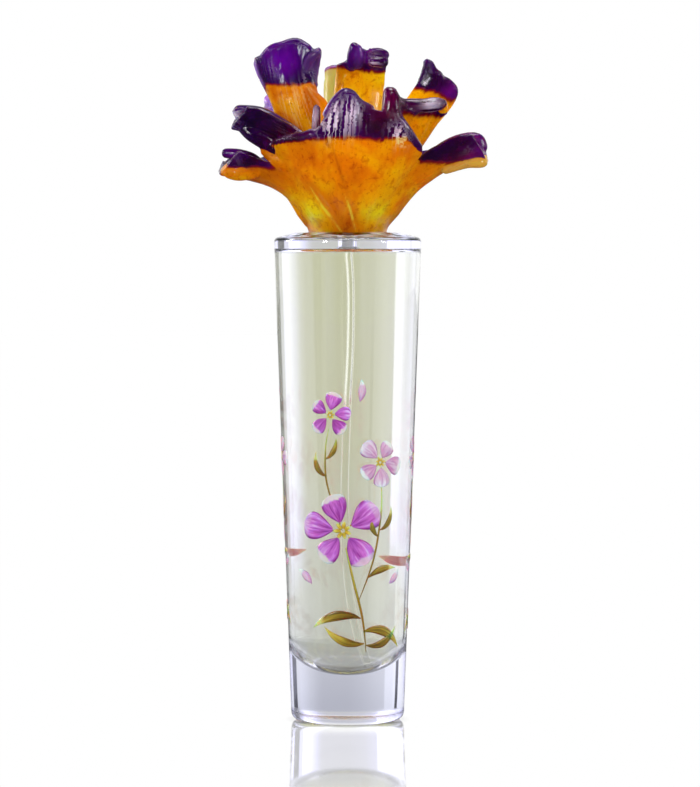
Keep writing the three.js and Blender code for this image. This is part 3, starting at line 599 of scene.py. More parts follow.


# ---- the bloom ----------------------------------------------------------------------------------
# Each petal is a thick waved sheet. Its spine runs from the throat to the rim, and each row gives
# (x, y, height above the seat, half width, how far both edges stand off to the upper side).
# side: the direction across the petal, in degrees. rim: how far the rim runs past the spine's
# end, as a share of its length, from edge to edge. wave: (height, whole waves from edge to edge,
# phase). bead: extra thickness of a rolled rim. violet: (height above the seat where the violet
# glass starts, its least depth at the rim). pale: share of clear glass in the mix. tilt: how much
# the violet's start leans across the petal. sun: painted glow, how much lighter and yellower the
# amber is painted, as if light shone through it.
PETALS = {
    "front_fall": dict(
        side=0,
        spine=[(0, -10.5, 1, 8.5, 3), (0, -14.5, 7, 12.5, 6), (0, -20, 14.5, 18, 9),
               (0, -22.6, 22, 21.5, 9), (0.5, -23.4, 30, 21, 6), (1, -22.6, 38, 18, 3)],
        rim=(-0.34, -0.31, -0.29, -0.27, -0.21, -0.04, 0.05, 0.055, -0.01, -0.05, -0.065, -0.065,
             -0.11, -0.21, -0.33),
        wave=(1.5, 1.3, 0.6), bead=0.8, violet=(27.3, 1.6), pale=0),
    "right_fall": dict(
        side=86,
        spine=[(10.3, -1, 2.2, 8.5, 2.5), (14.8, -1.5, 8.5, 9.5, 3.5), (20.3, -2, 14.1, 10, 4.5),
               (28.3, -3, 19.2, 10, 6), (35.8, -3.5, 21.0, 9.5, 8), (40.5, -3.5, 22.0, 7.6, 7.5)],
        rim=(-0.12, 0, 0.02, 0, -0.1),
        wave=(1.0, 1.0, 0.4), bead=0.8, violet=(20.6, 0.5), pale=0),
    "left_fall": dict(
        side=-82,
        spine=[(-9.5, -2, 2.3, 8.5, 2.5), (-13.5, -2.5, 8.7, 9.5, 3.5), (-20.4, -3.5, 14.0, 10, 3.9),
               (-28, -5, 16.1, 10, 5.0), (-33.6, -6, 16.6, 9.5, 7.5), (-37.2, -6.5, 17.6, 7.8, 7.5)],
        rim=(-0.1, 0, 0.02, 0.0, -0.1),
        wave=(1.2, 1.2, 2.0), bead=1.0, violet=(18.8, 0.5), pale=0),
    "left_rolled": dict(
        side=-72,
        spine=[(-6, -3, 14, 5, 2), (-12, -5, 20.5, 5.5, 3), (-18, -7, 25, 5.6, 5),
               (-24.5, -8.5, 28, 5.8, 6), (-30, -9.5, 30, 5.6, 6.8), (-33.3, -10, 31.2, 5, 6.5)],
        rim=(-0.1, 0, 0.02, 0, -0.08),
        wave=(0.6, 1.0, 1.0), bead=0.8, violet=(25.5, 17), pale=0),
    "left_standard": dict(
        side=-10,
        spine=[(-5, -4, 14, 5, 1), (-10, -5.5, 24, 5.8, 2), (-14.2, -6, 33.5, 6.6, 2.8),
               (-16.9, -6.5, 42.5, 7.2, 3.2), (-18.2, -6, 50, 9.1, 2.6), (-18.4, -5.5, 55, 9.8, 2)],
        rim=(-0.13, -0.12, -0.065, -0.02, 0.01, 0.025, 0.01, -0.06, -0.065),
        wave=(1.2, 1.4, 0.2), bead=0.4, violet=(43.4, 1.0), pale=0),
    "middle_standard": dict(
        side=4,
        spine=[(2, 3, 16, 5, 1), (2.6, 4, 29, 6.3, 1.5), (3.2, 5, 40, 7.0, 2),
               (4.0, 4.5, 47, 7.1, 2), (4.9, 3, 51.5, 6.8, 1), (5.4, 1.5, 54.5, 6.4, 0)],
        rim=(-0.35, -0.27, -0.08, -0.03, -0.05, -0.11, -0.06, -0.06, -0.08),
        wave=(1.2, 1.6, 1.4), bead=1.0, violet=(48.6, 1.0), tilt=-0.12, pale=0, sun=0.95),
    "right_standard": dict(
        side=18,
        spine=[(9, 3, 14, 4.5, 1), (15.5, 5, 25, 5.2, 1.5), (21.2, 7, 34, 5.8, 2),
               (26.4, 8, 41, 6.2, 2), (28.6, 8, 47, 6.1, 1.5)],
        rim=(0.075, 0.07, 0.005, 0.0, -0.055, -0.05, -0.115, -0.12, -0.19),
        wave=(1.0, 1.8, 0.8), bead=0.4, violet=(41.2, 1.0), tilt=-0.35, pale=0, sun=0.9),
    "right_cup": dict(
        side=27,
        spine=[(6, -6, 12, 5, 2), (12.5, -9, 20, 6.5, 3), (16.6, -11.5, 27, 8.2, 3.5),
               (19.4, -13.5, 33, 9.6, 3), (20.9, -15, 37, 10.4, 1.5)],
        rim=(0.05, 0.03, -0.06, -0.03, 0.01, -0.04),
        wave=(0.8, 1.2, 0.2), bead=2.4, violet=(34.2, 3), pale=0, sun=0.85),
    "back_standard": dict(
        side=0,
        spine=[(-1, 6, 16, 5, 1), (-1.6, 11, 29, 5.2, 2), (-1.6, 15, 40, 5.4, 2.5),
               (-1.2, 17, 49.4, 5.3, 2)],
        rim=(-0.02, 0.01, 0, 0.01, -0.04),
        wave=(0.8, 1.3, 0.5), bead=0.3, violet=(99, 1.4), pale=0.85, sun=0.8),
    "back_left_standard": dict(
        side=238,
        spine=[(-5, 4, 12, 6, 2), (-11, 8, 22, 7, 3), (-17, 11, 31, 8, 3), (-21.5, 13, 38, 8, 2)],
        rim=(-0.1, 0, 0.03, 0, -0.1),
        wave=(1.2, 1.3, 2.2), bead=0.5, violet=(27, 3), pale=0.5),
    "back_right_standard": dict(
        side=150,
        spine=[(4, 5, 14, 5, 1), (7, 10, 24, 6.4, 2), (9, 14.5, 31, 7.4, 2), (10, 17, 36, 7.4, 1.5)],
        rim=(-0.12, 0, 0.03, 0, -0.1),
        wave=(1.0, 1.3, 0.9), bead=1.0, violet=(30, 2), pale=0.1),
    "back_fall": dict(
        side=184,
        spine=[(0, 10.5, 1, 8.5, 3), (0, 14.5, 7, 12.5, 6), (-0.5, 19.5, 14.5, 18, 9),
               (-1, 22, 22, 20, 7.5), (-1.5, 24.5, 29, 19, 5.5), (-2, 25.5, 35, 16, 2)],
        rim=(-0.3, -0.06, 0.05, 0.0, -0.05, 0.04, -0.1, -0.34),
        wave=(1.5, 1.5, 2.4), bead=0.8, violet=(26, 2.4), pale=0),
    "back_right_fall": dict(
        side=132,
        spine=[(7, 7.5, 2, 8.5, 3), (10.3, 10.8, 8, 10, 4), (15.2, 15.4, 14, 11, 5),
               (21.5, 20.5, 18.5, 11.5, 6), (26, 24, 21.5, 10, 5.5)],
        rim=(-0.12, 0, 0.03, 0, -0.12),
        wave=(1.3, 1.2, 1.2), bead=0.9, violet=(21, 2), pale=0),
    "back_left_fall": dict(
        side=222,
        spine=[(-7.5, 7, 2, 8.5, 3), (-10.8, 10.3, 8, 10, 4), (-16, 15, 13.5, 11, 5),
               (-22.5, 19.5, 17, 11.5, 5.5), (-27.5, 22, 20.5, 9.5, 5.5)],
        rim=(-0.12, 0, 0.03, 0, -0.12),
        wave=(1.3, 1.3, 0.1), bead=0.9, violet=(20, 2), pale=0),
}
# Rolled rims, knobs and folds that stand on the petals: points (x, y, height above the seat, radius),
# then how far inside the violet glass they are (below 0 is amber) and how pale.
ROLLS = [
    ([(13.2, -20, 33.5, 3.2), (12.9, -20, 38.0, 2.9), (12.5, -19.5, 40.2, 2.3)], 4, 0),
    ([(15.4, -17, 37.4, 1.5), (18.8, -16, 36.9, 2.1), (22.7, -15.5, 36.8, 2.1), (26.0, -15, 37.2, 2.1),
      (27.6, -14, 37.6, 1.5)], 3, 0),
    ([(27.9, -13.5, 37.7, 1.2), (28.2, -13, 36.0, 1.4)], -3, 0),
    ([(1.1, 2, 49.4, 1.4), (1.3, 1.6, 52.4, 1.5), (1.9, 1.2, 55.0, 1.4)], 4, 0),
    ([(3.3, 1.6, 49.8, 1.4), (3.4, 1.2, 52.2, 1.5), (3.2, 1, 54.6, 1.3)], 4, 0.05),
    ([(6.9, 1.0, 50.6, 1.6), (7.2, 0.8, 53.2, 1.5)], 4, 0),
    ([(7.2, 0.6, 53.2, 1.4), (9.4, 0.4, 53.2, 1.4), (11.0, 0.4, 52.6, 1.4)], 4, 0),
    ([(8.0, 0, 50.4, 1.6), (10.4, 0, 50.2, 1.7), (11.0, 0.2, 50.8, 1.4)], 4, 0),
    ([(-9.2, -18.5, 28.0, 1.5), (-9.1, -18.5, 32.5, 1.4), (-9.0, -17.5, 36.0, 1.2)], 3, 0),
    ([(-11.6, -7.5, 42.6, 0.9), (-9.8, -8.5, 40.2, 1.4), (-7.6, -9, 37.4, 1.9), (-6.9, -10, 34.5, 2.0),
      (-7.0, -11, 31.0, 2.0)], -3, 0),
    ([(-11.8, -6, 48.0, 1.3), (-10.8, -8, 51.0, 1.5), (-8.8, -9, 52.4, 1.2)], 3, 0.1),
    ([(-31.7, -8, 35.4, 2.2), (-25.6, -8.5, 34.3, 2.6), (-19.3, -9, 31.0, 2.6), (-14.0, -11, 28.0, 2)],
     5, 0),
    ([(-31.0, -10.5, 31.4, 1.9), (-28.4, -11.5, 28.9, 2.2), (-23.6, -12, 26.0, 2.3),
      (-19.2, -13, 23.6, 1.9)], 3.2, 0),
    ([(-24.6, -11.5, 23.6, 1.2), (-21.8, -12.5, 21.9, 1.7), (-19.2, -13.5, 20.6, 1.8)], -3, 0),
    ([(-35.8, -7, 23.2, 1.8), (-32.4, -8, 23.0, 1.9), (-28.2, -8, 21.7, 1.9), (-24.6, -8, 19.2, 1.4)],
     4, 0),
    ([(-33.4, -11, 19.8, 1.3), (-29.3, -11.5, 19.8, 1.5), (-25.2, -10.5, 19.2, 1.2)], 2.2, 0),
    ([(-34.9, -11, 17.6, 1.8), (-31.8, -12, 17.1, 2.0), (-27.0, -12.5, 17.4, 1.6)], -4, 0),
    ([(-23.5, 12, 39.6, 1.9), (-22.8, 12, 37.3, 2.1), (-21.0, 12, 34.6, 1.9)], 6, 0.85),
    ([(24.6, -5, 22.8, 1.4), (29.2, -6, 25.6, 1.6), (34.1, -6, 27.3, 1.7), (38.2, -6, 27.3, 1.8),
      (39.6, -6, 25.2, 1.7)], 4, 0),
    ([(29.0, -7, 18.5, 1.2), (35.0, -8, 20.1, 1.2), (38.9, -8, 20.4, 1.4), (40.0, -7, 20.6, 1.3)],
     -3, 0.35),
]
# Creases pressed into the trumpet's front: points (x, y, height), half width, depth, and the painted
# light along them: a painted yellow highlight above 0 and a painted dark line of shade below 0.
CREASES = [
    ([(-10.6, -24, 13.3), (-6.9, -20, 7.3), (-3.4, -16, 2.9), (-0.6, -13, -1.0)], 0.65, 0.5, 1.2),
    ([(-5.6, -25, 27.0), (-3.4, -25.5, 20.0), (-0.6, -23, 11.0)], 0.8, 0.4, -0.4),
    ([(-0.8, -22, 11.8), (1.4, -18, 6.0), (2.9, -14, 0.0)], 0.6, 0.45, 0.9),
    ([(9.3, -22, 11.5), (8.0, -19, 6.7), (6.6, -17, 4.1), (5.5, -14, 0.8)], 0.7, 0.4, 0.3),
    ([(-8.8, -22, 29.2), (-6.4, -24, 26.8), (-5.2, -25, 23.6)], 0.7, 0.5, -0.6),
]
# Spots of the glass by what they change: (x, y, height above the seat, reach, strength).
SPOTS = {
    # painted highlight: the ridges are painted white here, and stand higher
    "ridges_and_highlight": [
        (-6.4, -22, 32.8, 4.2, 0.85), (-3.0, -22, 36.8, 4.0, 0.85), (1.2, -22, 34.4, 3.0, 0.7),
        (-3.4, -23, 30.0, 4.0, 0.8), (14.8, -20, 29.4, 2.6, 1.8), (15.6, -20, 26.4, 2.0, 1.2),
        (24.0, -17, 38.0, 2.8, 0.8), (7.6, -1, 50.6, 1.8, 0.7), (-34.2, -8, 34.0, 3.4, 1),
        (-33.0, -10, 22.6, 3.0, 1), (36.0, -9, 24.6, 2.0, 0.7), (-25.0, -9, 47.5, 2.6, 0.7),
        (-15.5, -10, 38.0, 4.2, 0.9), (-12.6, -11, 30.0, 4.0, 0.8), (-10.6, -8, 46, 2.0, 0.5),
        (6.0, 24, 33, 6, 0.8), (-30, 17, 24, 5, 0.6),
    ],
    # painted glow: the amber is painted lighter and yellower as if light shone through it, and deeper
    # below 0, a painted shade
    "sun": [
        (-12.5, -10, 1.0, 4, 1.2), (12.5, -10, 1.0, 4, 0.9), (-12.0, -14, 4.0, 6.5, 1.8),
        (10.0, -15, 4.5, 6.0, 1.6), (-8.5, -22, 11.5, 3.5, 1.0),
        (2.0, -15, 2.0, 4.5, -0.8), (-26.0, -8, 15.0, 8, -1.1), (10.1, -18, 7.6, 1.6, 1.2),
        (-15.0, -18, 16.0, 7, 0.3), (15.0, -18, 18.0, 6, 0.4), (-8.0, -9, 40.0, 5, -0.8),
        (0.0, 16, 6.0, 9, 0.6), (-12, 24, 22, 7, -0.3), (30, -6, 19, 5, 0.4),
    ],
    # painted light: brighter violet where the glass is lit
    "light": [
        (-19.0, -8, 52.0, 8, 0.7), (12.5, -20, 38.0, 4, 0.5), (5.0, 1, 53, 6, 0.6),
        (-34.0, -9, 34, 4, 0.8), (-33, -9, 23, 4, 0.9), (36, -7, 26, 6, 0.9), (-4, -22, 35, 6, 0.5),
        (31, 8, 42, 3, 0.8), (-2, 24, 34, 8, 0.6), (24, 20, 22, 7, 0.6), (-26, 18, 20, 7, 0.7),
    ],
    # redder violet
    "red": [
        (12.5, -20, 38.0, 5, 1.2), (9.0, -23, 32, 6, 0.8), (22.0, -15, 37.0, 6, 0.8),
        (33.0, -6, 24, 7, 1.3), (-20.0, -12, 27, 6, 0.9), (28.0, 8, 44, 6, 0.5), (-28, -9, 20, 6, 0.6),
        (-15, -20, 27, 6, 0.8), (8, 0, 50, 4, 0.5), (-9.1, -18, 33, 4, 1.2),
    ],
}
# Rolled edges that follow a petal: name, points (u, v, radius), violet depth, pale.
EDGE_ROLLS = [
    # on the left standard's side edges the pale lilac is a painted highlight
    ("left_standard", [(-1, 0.45, 0.6), (-1, 0.7, 0.9), (-1, 0.97, 1.1)], 2.2, 0.55),
    ("left_standard", [(-0.95, 0.98, 1.2), (-0.4, 1, 1.3), (0.2, 1, 1.4), (0.7, 1, 1.2)], 4, 0),
    ("left_standard", [(1, 0.6, 0.7), (1, 0.8, 0.9), (1, 0.97, 1.1)], 3, 0.15),
    ("front_fall", [(-0.95, 0.99, 0.9), (-0.7, 1, 1.2), (-0.5, 1, 1.2)], 2, 0),
    ("front_fall", [(-0.35, 1, 1.2), (-0.14, 1, 1.6), (0.05, 1, 1.4), (0.3, 1, 1.5)], 4, 0),
    ("front_fall", [(0.6, 1, 1.4), (0.8, 1, 1.2), (0.96, 0.99, 1.0)], 2, 0),
    ("right_standard", [(-0.95, 0.97, 0.8), (-0.5, 1, 0.9), (0.1, 1, 0.8), (0.6, 1, 1.2),
                        (0.95, 0.98, 1.0)], 4, 0),
    ("back_left_standard", [(-0.9, 0.98, 1.2), (0, 1, 1.5), (0.9, 0.98, 1.2)], 4, 0.4),
    ("back_right_standard", [(-0.9, 0.98, 1.3), (-0.2, 1, 1.7), (0.4, 1, 1.4), (0.9, 0.98, 1.5)], 4, 0),
    ("back_standard", [(-0.9, 0.98, 1.0), (0.9, 0.98, 1.0)], 1.5, 0.2),
    ("back_fall", [(-0.9, 0.99, 1.2), (-0.4, 1, 1.6), (0.1, 1, 1.3), (0.5, 1, 1.7), (0.9, 0.99, 1.2)],
     4, 0),
    ("back_right_fall", [(-0.9, 0.98, 1.6), (0, 1, 1.9), (0.9, 0.98, 1.6)], 4, 0),
    ("back_left_fall", [(-0.9, 0.98, 1.6), (0, 1, 1.9), (0.9, 0.98, 1.6)], 4, 0),
]
PETAL_ROOT_THICK = 5.0
PETAL_RIM_THICK = 2.5
PETAL_THINNING = 0.67  # share of a petal's length over which it thins
PETAL_EDGE_THIN = 0.45  # share of the thickness that is lost at both side edges
RIM_BEAD_REACH = 0.09  # share of a petal's length that a rolled rim takes
PETAL_CELLS = 56
SAMPLE_CELLS = 40
SAMPLE_SIDES = 12  # points round a roll
THROAT_PROFILE = [
    (0, -2), (12.7, -2), (12.7, 0), (12.8, 1.4), (13.3, 3.4), (14.4, 5.8), (15.8, 8.2), (17.2, 10.8),
    (17.7, 13.5), (16.8, 16.5), (14.1, 20), (11.5, 24), (8, 27), (0, 28),
]
BORE_PROFILE = [
    (0, -6), (25.4, -6), (25.4, 0), (9.7, 0), (9.7, 11.6), (8.25, 12.4), (8.25, 23.9), (0, 23.9),
]
THROAT_SIDES = 96
DEFAULT_SUN = 0.3


def petal_length(petal):
    spine = np.array(petal["spine"])[:, :3]
    return float(np.linalg.norm(np.diff(spine, axis=0), axis=1).sum())


def rim_offset(petal, u):
    """How far the rim runs past the spine's end, as a share of its length."""
    return spline(np.array(petal["rim"])[:, None], (u + 1) / 2)[..., 0]


def petal_points(petal, u, v):
    """Points of a petal's middle sheet: u from -1 to 1 across it, v from 0 at the root to 1."""
    reach = v * (1 + rim_offset(petal, u) * v)
    t = np.minimum(reach, 1)
    row = spline(petal["spine"], t)
    ahead, behind = (spline(petal["spine"], t + d)[..., :3] for d in (0.02, -0.02))
    up = ahead - behind
    up /= np.linalg.norm(up, axis=-1)[..., None]
    angle = math.radians(petal["side"])
    across = np.array((math.cos(angle), math.sin(angle), 0.0))
    across = across - up * (up @ across)[..., None]
    across /= np.linalg.norm(across, axis=-1)[..., None]
    off = np.cross(up, across)
    height, waves, phase = petal["wave"]
    wave = height * v**3 * np.sin(math.pi * waves * u + phase)
    return (row[..., :3] + SEAT + across * (row[..., 3] * u)[..., None]
            + off * (row[..., 4] * u * u + wave)[..., None]
            + up * ((reach - t) * petal_length(petal))[..., None])


def petal_grid(petal, cells):
    """A petal's middle sheet, the way from it to the upper face, and each point's u and v."""
    v, u = np.meshgrid(np.linspace(0, 1, cells + 1), np.linspace(-1, 1, cells + 1), indexing="ij")
    step = 0.01
    du = (petal_points(petal, np.minimum(u + step, 1), v)
          - petal_points(petal, np.maximum(u - step, -1), v))
    dv = (petal_points(petal, u, np.minimum(v + step, 1))
          - petal_points(petal, u, np.maximum(v - step, 0)))
    normal = np.cross(dv, du)
    normal /= np.linalg.norm(normal, axis=-1)[..., None]
    thick = PETAL_ROOT_THICK + (PETAL_RIM_THICK - PETAL_ROOT_THICK) * np.minimum(1, v / PETAL_THINNING)
    thick = thick + petal["bead"] * np.exp(-(((1 - v) / RIM_BEAD_REACH) ** 2))
    thick = thick * (1 - PETAL_EDGE_THIN * np.abs(u) ** 8)
    return petal_points(petal, u, v), normal * (thick / 2)[..., None], u, v


def petal_solid(petal):
    middle, half, _, _ = petal_grid(petal, PETAL_CELLS)
    points = np.concatenate([(middle + half).reshape(-1, 3), (middle - half).reshape(-1, 3)])
    return points, shell_faces(PETAL_CELLS + 1, PETAL_CELLS + 1, flip=True)


def all_rolls():
    """Every roll as (points x, y, height, radius), violet depth, pale."""
    rolls = list(ROLLS)
    for name, line, violet, pale in EDGE_ROLLS:
        fine = spline(line, np.linspace(0, 1, 9))
        place = petal_points(PETALS[name], fine[:, 0], fine[:, 1]) - SEAT
        rolls.append((np.column_stack([place, fine[:, 2]]), violet, pale))
    return rolls


CAP_TURNS = np.radians([18, 36, 54, 72, 86])
ROLL_SIDE = np.array((0.3, 1.0, 0.2))


def roll_rings(points, sides=16):
    """Rings of points round a roll, with a rounded cap of shrinking rings at each end."""
    rows = spline(points, np.linspace(0, 1, 24))
    caps = []
    for end, step in ((0, -1), (-1, 1)):
        tangent = rows[end, :3] - rows[end - step, :3]
        tangent /= np.linalg.norm(tangent)
        radius = rows[end, 3]
        cap = np.concatenate([rows[end, :3] + tangent * (radius * np.sin(CAP_TURNS))[:, None],
                              (radius * np.cos(CAP_TURNS))[:, None]], axis=1)
        caps.append(cap[::-1] if end == 0 else cap)
    path = np.concatenate([caps[0], rows, caps[1]])
    return rings_along(path[:, :3], path[:, 3], sides, ROLL_SIDE) + SEAT


def roll_solid(points):
    rings = roll_rings(points)
    skin, ends = tube_faces(*rings.shape[:2])
    return rings.reshape(-1, 3), ends + skin


KNOTS = 4096


def value_noise(t, seed):
    """Smooth one-dimensional noise from -1 to 1 with one knot per unit."""
    knots = np.random.RandomState(seed).uniform(-1, 1, KNOTS)
    i = np.floor(t).astype(int)
    f = t - i
    f = f * f * (3 - 2 * f)
    return knots[i % KNOTS] * (1 - f) + knots[(i + 1) % KNOTS] * f


def distance_to_line(points, line):
    """Distance from each point to a polyline, and how far along it the nearest place is."""
    best = np.full(len(points), np.inf)
    share = np.zeros(len(points))
    for i, (a, b) in enumerate(zip(line, line[1:])):
        ab = b - a
        t = np.clip((points - a) @ ab / (ab @ ab), 0, 1)
        away = np.linalg.norm(points - (a + t[:, None] * ab), axis=1)
        share = np.where(away < best, (i + t) / (len(line) - 1), share)
        best = np.minimum(best, away)
    return best, share


def applied(obj):
    """Applies the object's modifiers to its mesh."""
    graph = bpy.context.evaluated_depsgraph_get()
    mesh = bpy.data.meshes.new_from_object(obj.evaluated_get(graph))
    obj.modifiers.clear()
    old = obj.data
    obj.data = mesh
    bpy.data.meshes.remove(old)


def vertex_array(mesh):
    out = np.empty(len(mesh.vertices) * 3, np.float32)
    mesh.vertices.foreach_get("co", out)
    return out.reshape(-1, 3).astype(float)


def move_vertices(mesh, co):
    mesh.vertices.foreach_set("co", co.astype(np.float32).ravel())
    mesh.update()


def smooth_values(mesh, values, rounds):
    """Averages values half way to the mean of each vertex's neighbours, a number of times."""
    edges = np.empty(len(mesh.edges) * 2, np.int32)
    mesh.edges.foreach_get("vertices", edges)
    a, b = edges.reshape(-1, 2).T
    count = np.bincount(np.concatenate([a, b]), minlength=len(mesh.vertices)).astype(float)
    count = np.maximum(count, 1)[:, None]
    for _ in range(rounds):
        total = np.zeros_like(values)
        for c in range(values.shape[1]):
            total[:, c] = (np.bincount(a, values[b, c], len(values))
                           + np.bincount(b, values[a, c], len(values)))
        values = values + 0.5 * (total / count - values)
    return values


def petal_samples():
    """Points all over the petals and rolls with what the glass is like there."""
    points, facts = [], []

    def gather(place, *columns):
        count = len(place.reshape(-1, 3))
        points.append(place.reshape(-1, 3))
        facts.append(np.stack([np.broadcast_to(c, place.shape[:-1]).reshape(count) for c in columns], -1))

    for index, petal in enumerate(PETALS.values()):
        middle, half, u, v = petal_grid(petal, SAMPLE_CELLS)
        length = petal_length(petal)
        rim_distance = (1 - v) * length * (1 + rim_offset(petal, u))
        start, least = petal["violet"]
        across = u * spline(petal["spine"], v)[..., 3]
        level = start + petal.get("tilt", 0) * across
        for face in (1, -1):
            place = middle + face * half
            violet = np.maximum(place[..., 2] - SEAT_Z - level, least - rim_distance)
            gather(place, violet, across + 31 * index, v * length, petal["pale"], v,
                   petal.get("sun", DEFAULT_SUN))
    for index, (line, violet, pale) in enumerate(all_rolls()):
        rings = roll_rings(line, SAMPLE_SIDES)
        along = (np.arange(len(rings)) * 0.3)[:, None]
        across = np.arange(SAMPLE_SIDES) * 0.5 + 900 + 17 * index
        gather(rings, violet, across, along, pale, 0.8, DEFAULT_SUN)
    return np.concatenate(points), np.concatenate(facts)


def glass_facts(verts):
    """For each point: depth in the violet glass, place across and along its petal, pale, v, sun."""
    points, facts = petal_samples()
    tree = KDTree(len(points))
    for i, p in enumerate(points):
        tree.insert(p, i)
    tree.balance()
    return facts[[tree.find(p)[1] for p in verts]]


def spot_values(name, place):
    """Strength of one kind of spot at points given as (x, y, height above the seat)."""
    return sum(strength * np.exp(-(np.linalg.norm(place - (x, y, z), axis=1) / reach) ** 2)
               for x, y, z, reach, strength in SPOTS[name])


CREASED_FRONT_Y = -6
FAR = 99


def crease_distance(place, line):
    """Distance of each point from a crease as seen from the front, far for points behind, and the
    crease's strength there, which dies away at both ends."""
    away, share = distance_to_line(place[:, [0, 2]], np.array(line, float)[:, [0, 2]])
    taper = np.sin(math.pi * np.clip(share, 0.03, 0.97)) ** 0.6
    return np.where(place[:, 1] < CREASED_FRONT_Y, away, FAR), taper


def ridges(across, along):
    """Fine ridges that run along the petals, from -1 to 1."""
    return value_noise(across * 0.95 + 0.5 * value_noise(along * 0.3, SEED), SEED + 1)


BLOOM_VOXEL = 0.38
SMOOTHING_ROUNDS = 5
FOOT_DRAWN_IN = 0.085  # share of the radius, at the seat


def fused_petals():
    """Petals, rolls and throat fused into one skin, smoothed and drawn in at the foot. Gives the
    object and its points."""
    verts, faces, base = [], [], 0
    solids = [petal_solid(petal) for petal in PETALS.values()]
    solids += [roll_solid(line) for line, _, _ in all_rolls()]
    for points, shape in solids:
        verts.append(points * MM)
        faces += [tuple(base + i for i in face) for face in shape]
        base += len(points)
    throat = lathe("throat", [(r, z + SEAT_Z) for r, z in THROAT_PROFILE], THROAT_SIDES)
    verts.append(vertex_array(throat.data))
    faces += [tuple(base + i for i in face.vertices) for face in throat.data.polygons]
    bpy.data.objects.remove(throat)
    bloom = mesh_object("bloom_cast_glass", np.concatenate(verts), faces)
    remesh = bloom.modifiers.new("fuse", "REMESH")
    remesh.mode = "VOXEL"
    remesh.voxel_size = BLOOM_VOXEL * MM * 1
    applied(bloom)
    co = smooth_values(bloom.data, vertex_array(bloom.data), SMOOTHING_ROUNDS)
    low = np.clip(1 - (co[:, 2] / MM - SEAT_Z) / 5, 0, 1)
    far = np.clip(np.hypot(co[:, 0], co[:, 1]) / MM - 10, 0, 1)
    co[:, :2] *= (1 - FOOT_DRAWN_IN * low * far)[:, None]
    move_vertices(bloom.data, co)
    return bloom, co


def carve(mesh, co):
    """Moves each point along its normal: ridges that run along the petals, strongest in the violet
    glass and where highlights are painted on them, soft lumps, flutes round the throat, and the creases."""
    violet, across, along, _, v, _ = glass_facts(co / MM).T
    place = co / MM - SEAT
    fine = ridges(across, along)
    broad = value_noise(across * 0.55 + 0.8 * value_noise(along * 0.15, SEED + 2), SEED + 3)
    in_violet = np.clip((violet + 1) / 3, 0, 1)
    ridges_and_highlight = np.clip(spot_values("ridges_and_highlight", place), 0, 1)
    amount = (0.05 + 0.06 * in_violet + 0.2 * ridges_and_highlight) * fine + 0.2 * broad
    amount += 0.12 * value_noise(along * 0.45, SEED + 4) * value_noise(across * 0.35, SEED + 5)
    amount *= np.clip((v - 0.2) / 0.3, 0.15, 1)
    turn = np.arctan2(place[:, 1], place[:, 0]) + math.pi
    rise = place[:, 2]
    flute = np.clip((rise - 1) / 6, 0, 1) * np.clip((24 - rise) / 8, 0, 1)
    amount += 0.4 * flute * value_noise(turn * 3.2 + 0.4 * value_noise(rise * 0.15, SEED + 6), SEED + 7)
    for line, width, depth, _ in CREASES:
        away, taper = crease_distance(place, line)
        amount -= depth * taper * np.exp(-((away / width) ** 2))
        amount += 0.35 * depth * taper * np.exp(-(((away - 2.4 * width) / width) ** 2))
    amount = smooth_values(mesh, amount[:, None], 1)
    normals = np.empty(len(mesh.vertices) * 3, np.float32)
    mesh.vertices.foreach_get("normal", normals)
    move_vertices(mesh, co + normals.reshape(-1, 3) * (amount * MM))


def cut_bore(bloom):
    """Cuts the bore for the sleeve, and the seat's flat."""
    cutter = lathe("bore", [(r, z + SEAT_Z) for r, z in BORE_PROFILE], THROAT_SIDES)
    cut = bloom.modifiers.new("bore", "BOOLEAN")
    cut.operation = "DIFFERENCE"
    cut.solver = "MANIFOLD"
    cut.object = cutter
    applied(bloom)
    bpy.data.objects.remove(cutter)


def store(mesh, name, values, kind="FLOAT"):
    layer = mesh.attributes.new(name, kind, "POINT")
    layer.data.foreach_set("vector" if kind == "FLOAT_VECTOR" else "value",
                           values.astype(np.float32).ravel())


GLASS_VALUES = ("violet", "pale", "sun", "crease_highlight_and_shade", "ridges_and_highlight", "light", "red")


def store_glass_values(mesh):
    """Stores what the material needs to know at each point."""
    place = vertex_array(mesh) / MM
    facts = glass_facts(place)
    place -= SEAT
    crease_highlight_and_shade = np.zeros(len(place))
    # painted highlight along each crease, and painted shade where its glow is below 0
    for line, width, _, glow in CREASES:
        away, taper = crease_distance(place + (0.45 * np.sign(glow), 0, 0), line)
        crease_highlight_and_shade += glow * taper * np.exp(-((away / (0.5 * width * taper)) ** 2))
    facts[:, 5] += spot_values("sun", place)
    soft = smooth_values(mesh, facts[:, [0, 3, 5]], 5)
    ridges_and_highlight, light, red = (spot_values(name, place) for name in ("ridges_and_highlight", "light", "red"))
    # painted highlights, strongest on the ridges
    ridges_and_highlight = ridges_and_highlight * np.clip(0.8 * ridges(facts[:, 1], facts[:, 2]) + 0.7, 0, 1)
    store(mesh, "grain", facts[:, [1, 2, 4]], "FLOAT_VECTOR")
    for name, values in zip(GLASS_VALUES, (*soft.T, crease_highlight_and_shade, ridges_and_highlight, light, red)):
        store(mesh, name, values)


def add_bloom(material):
    bloom, co = fused_petals()
    carve(bloom.data, co)
    cut_bore(bloom)
    store_glass_values(bloom.data)
    bloom.data.polygons.foreach_set("use_smooth", [True] * len(bloom.data.polygons))
    bloom.data.update()
    clothe(bloom, material)
    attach(bloom, BODY)
    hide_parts("bloom_stopper")


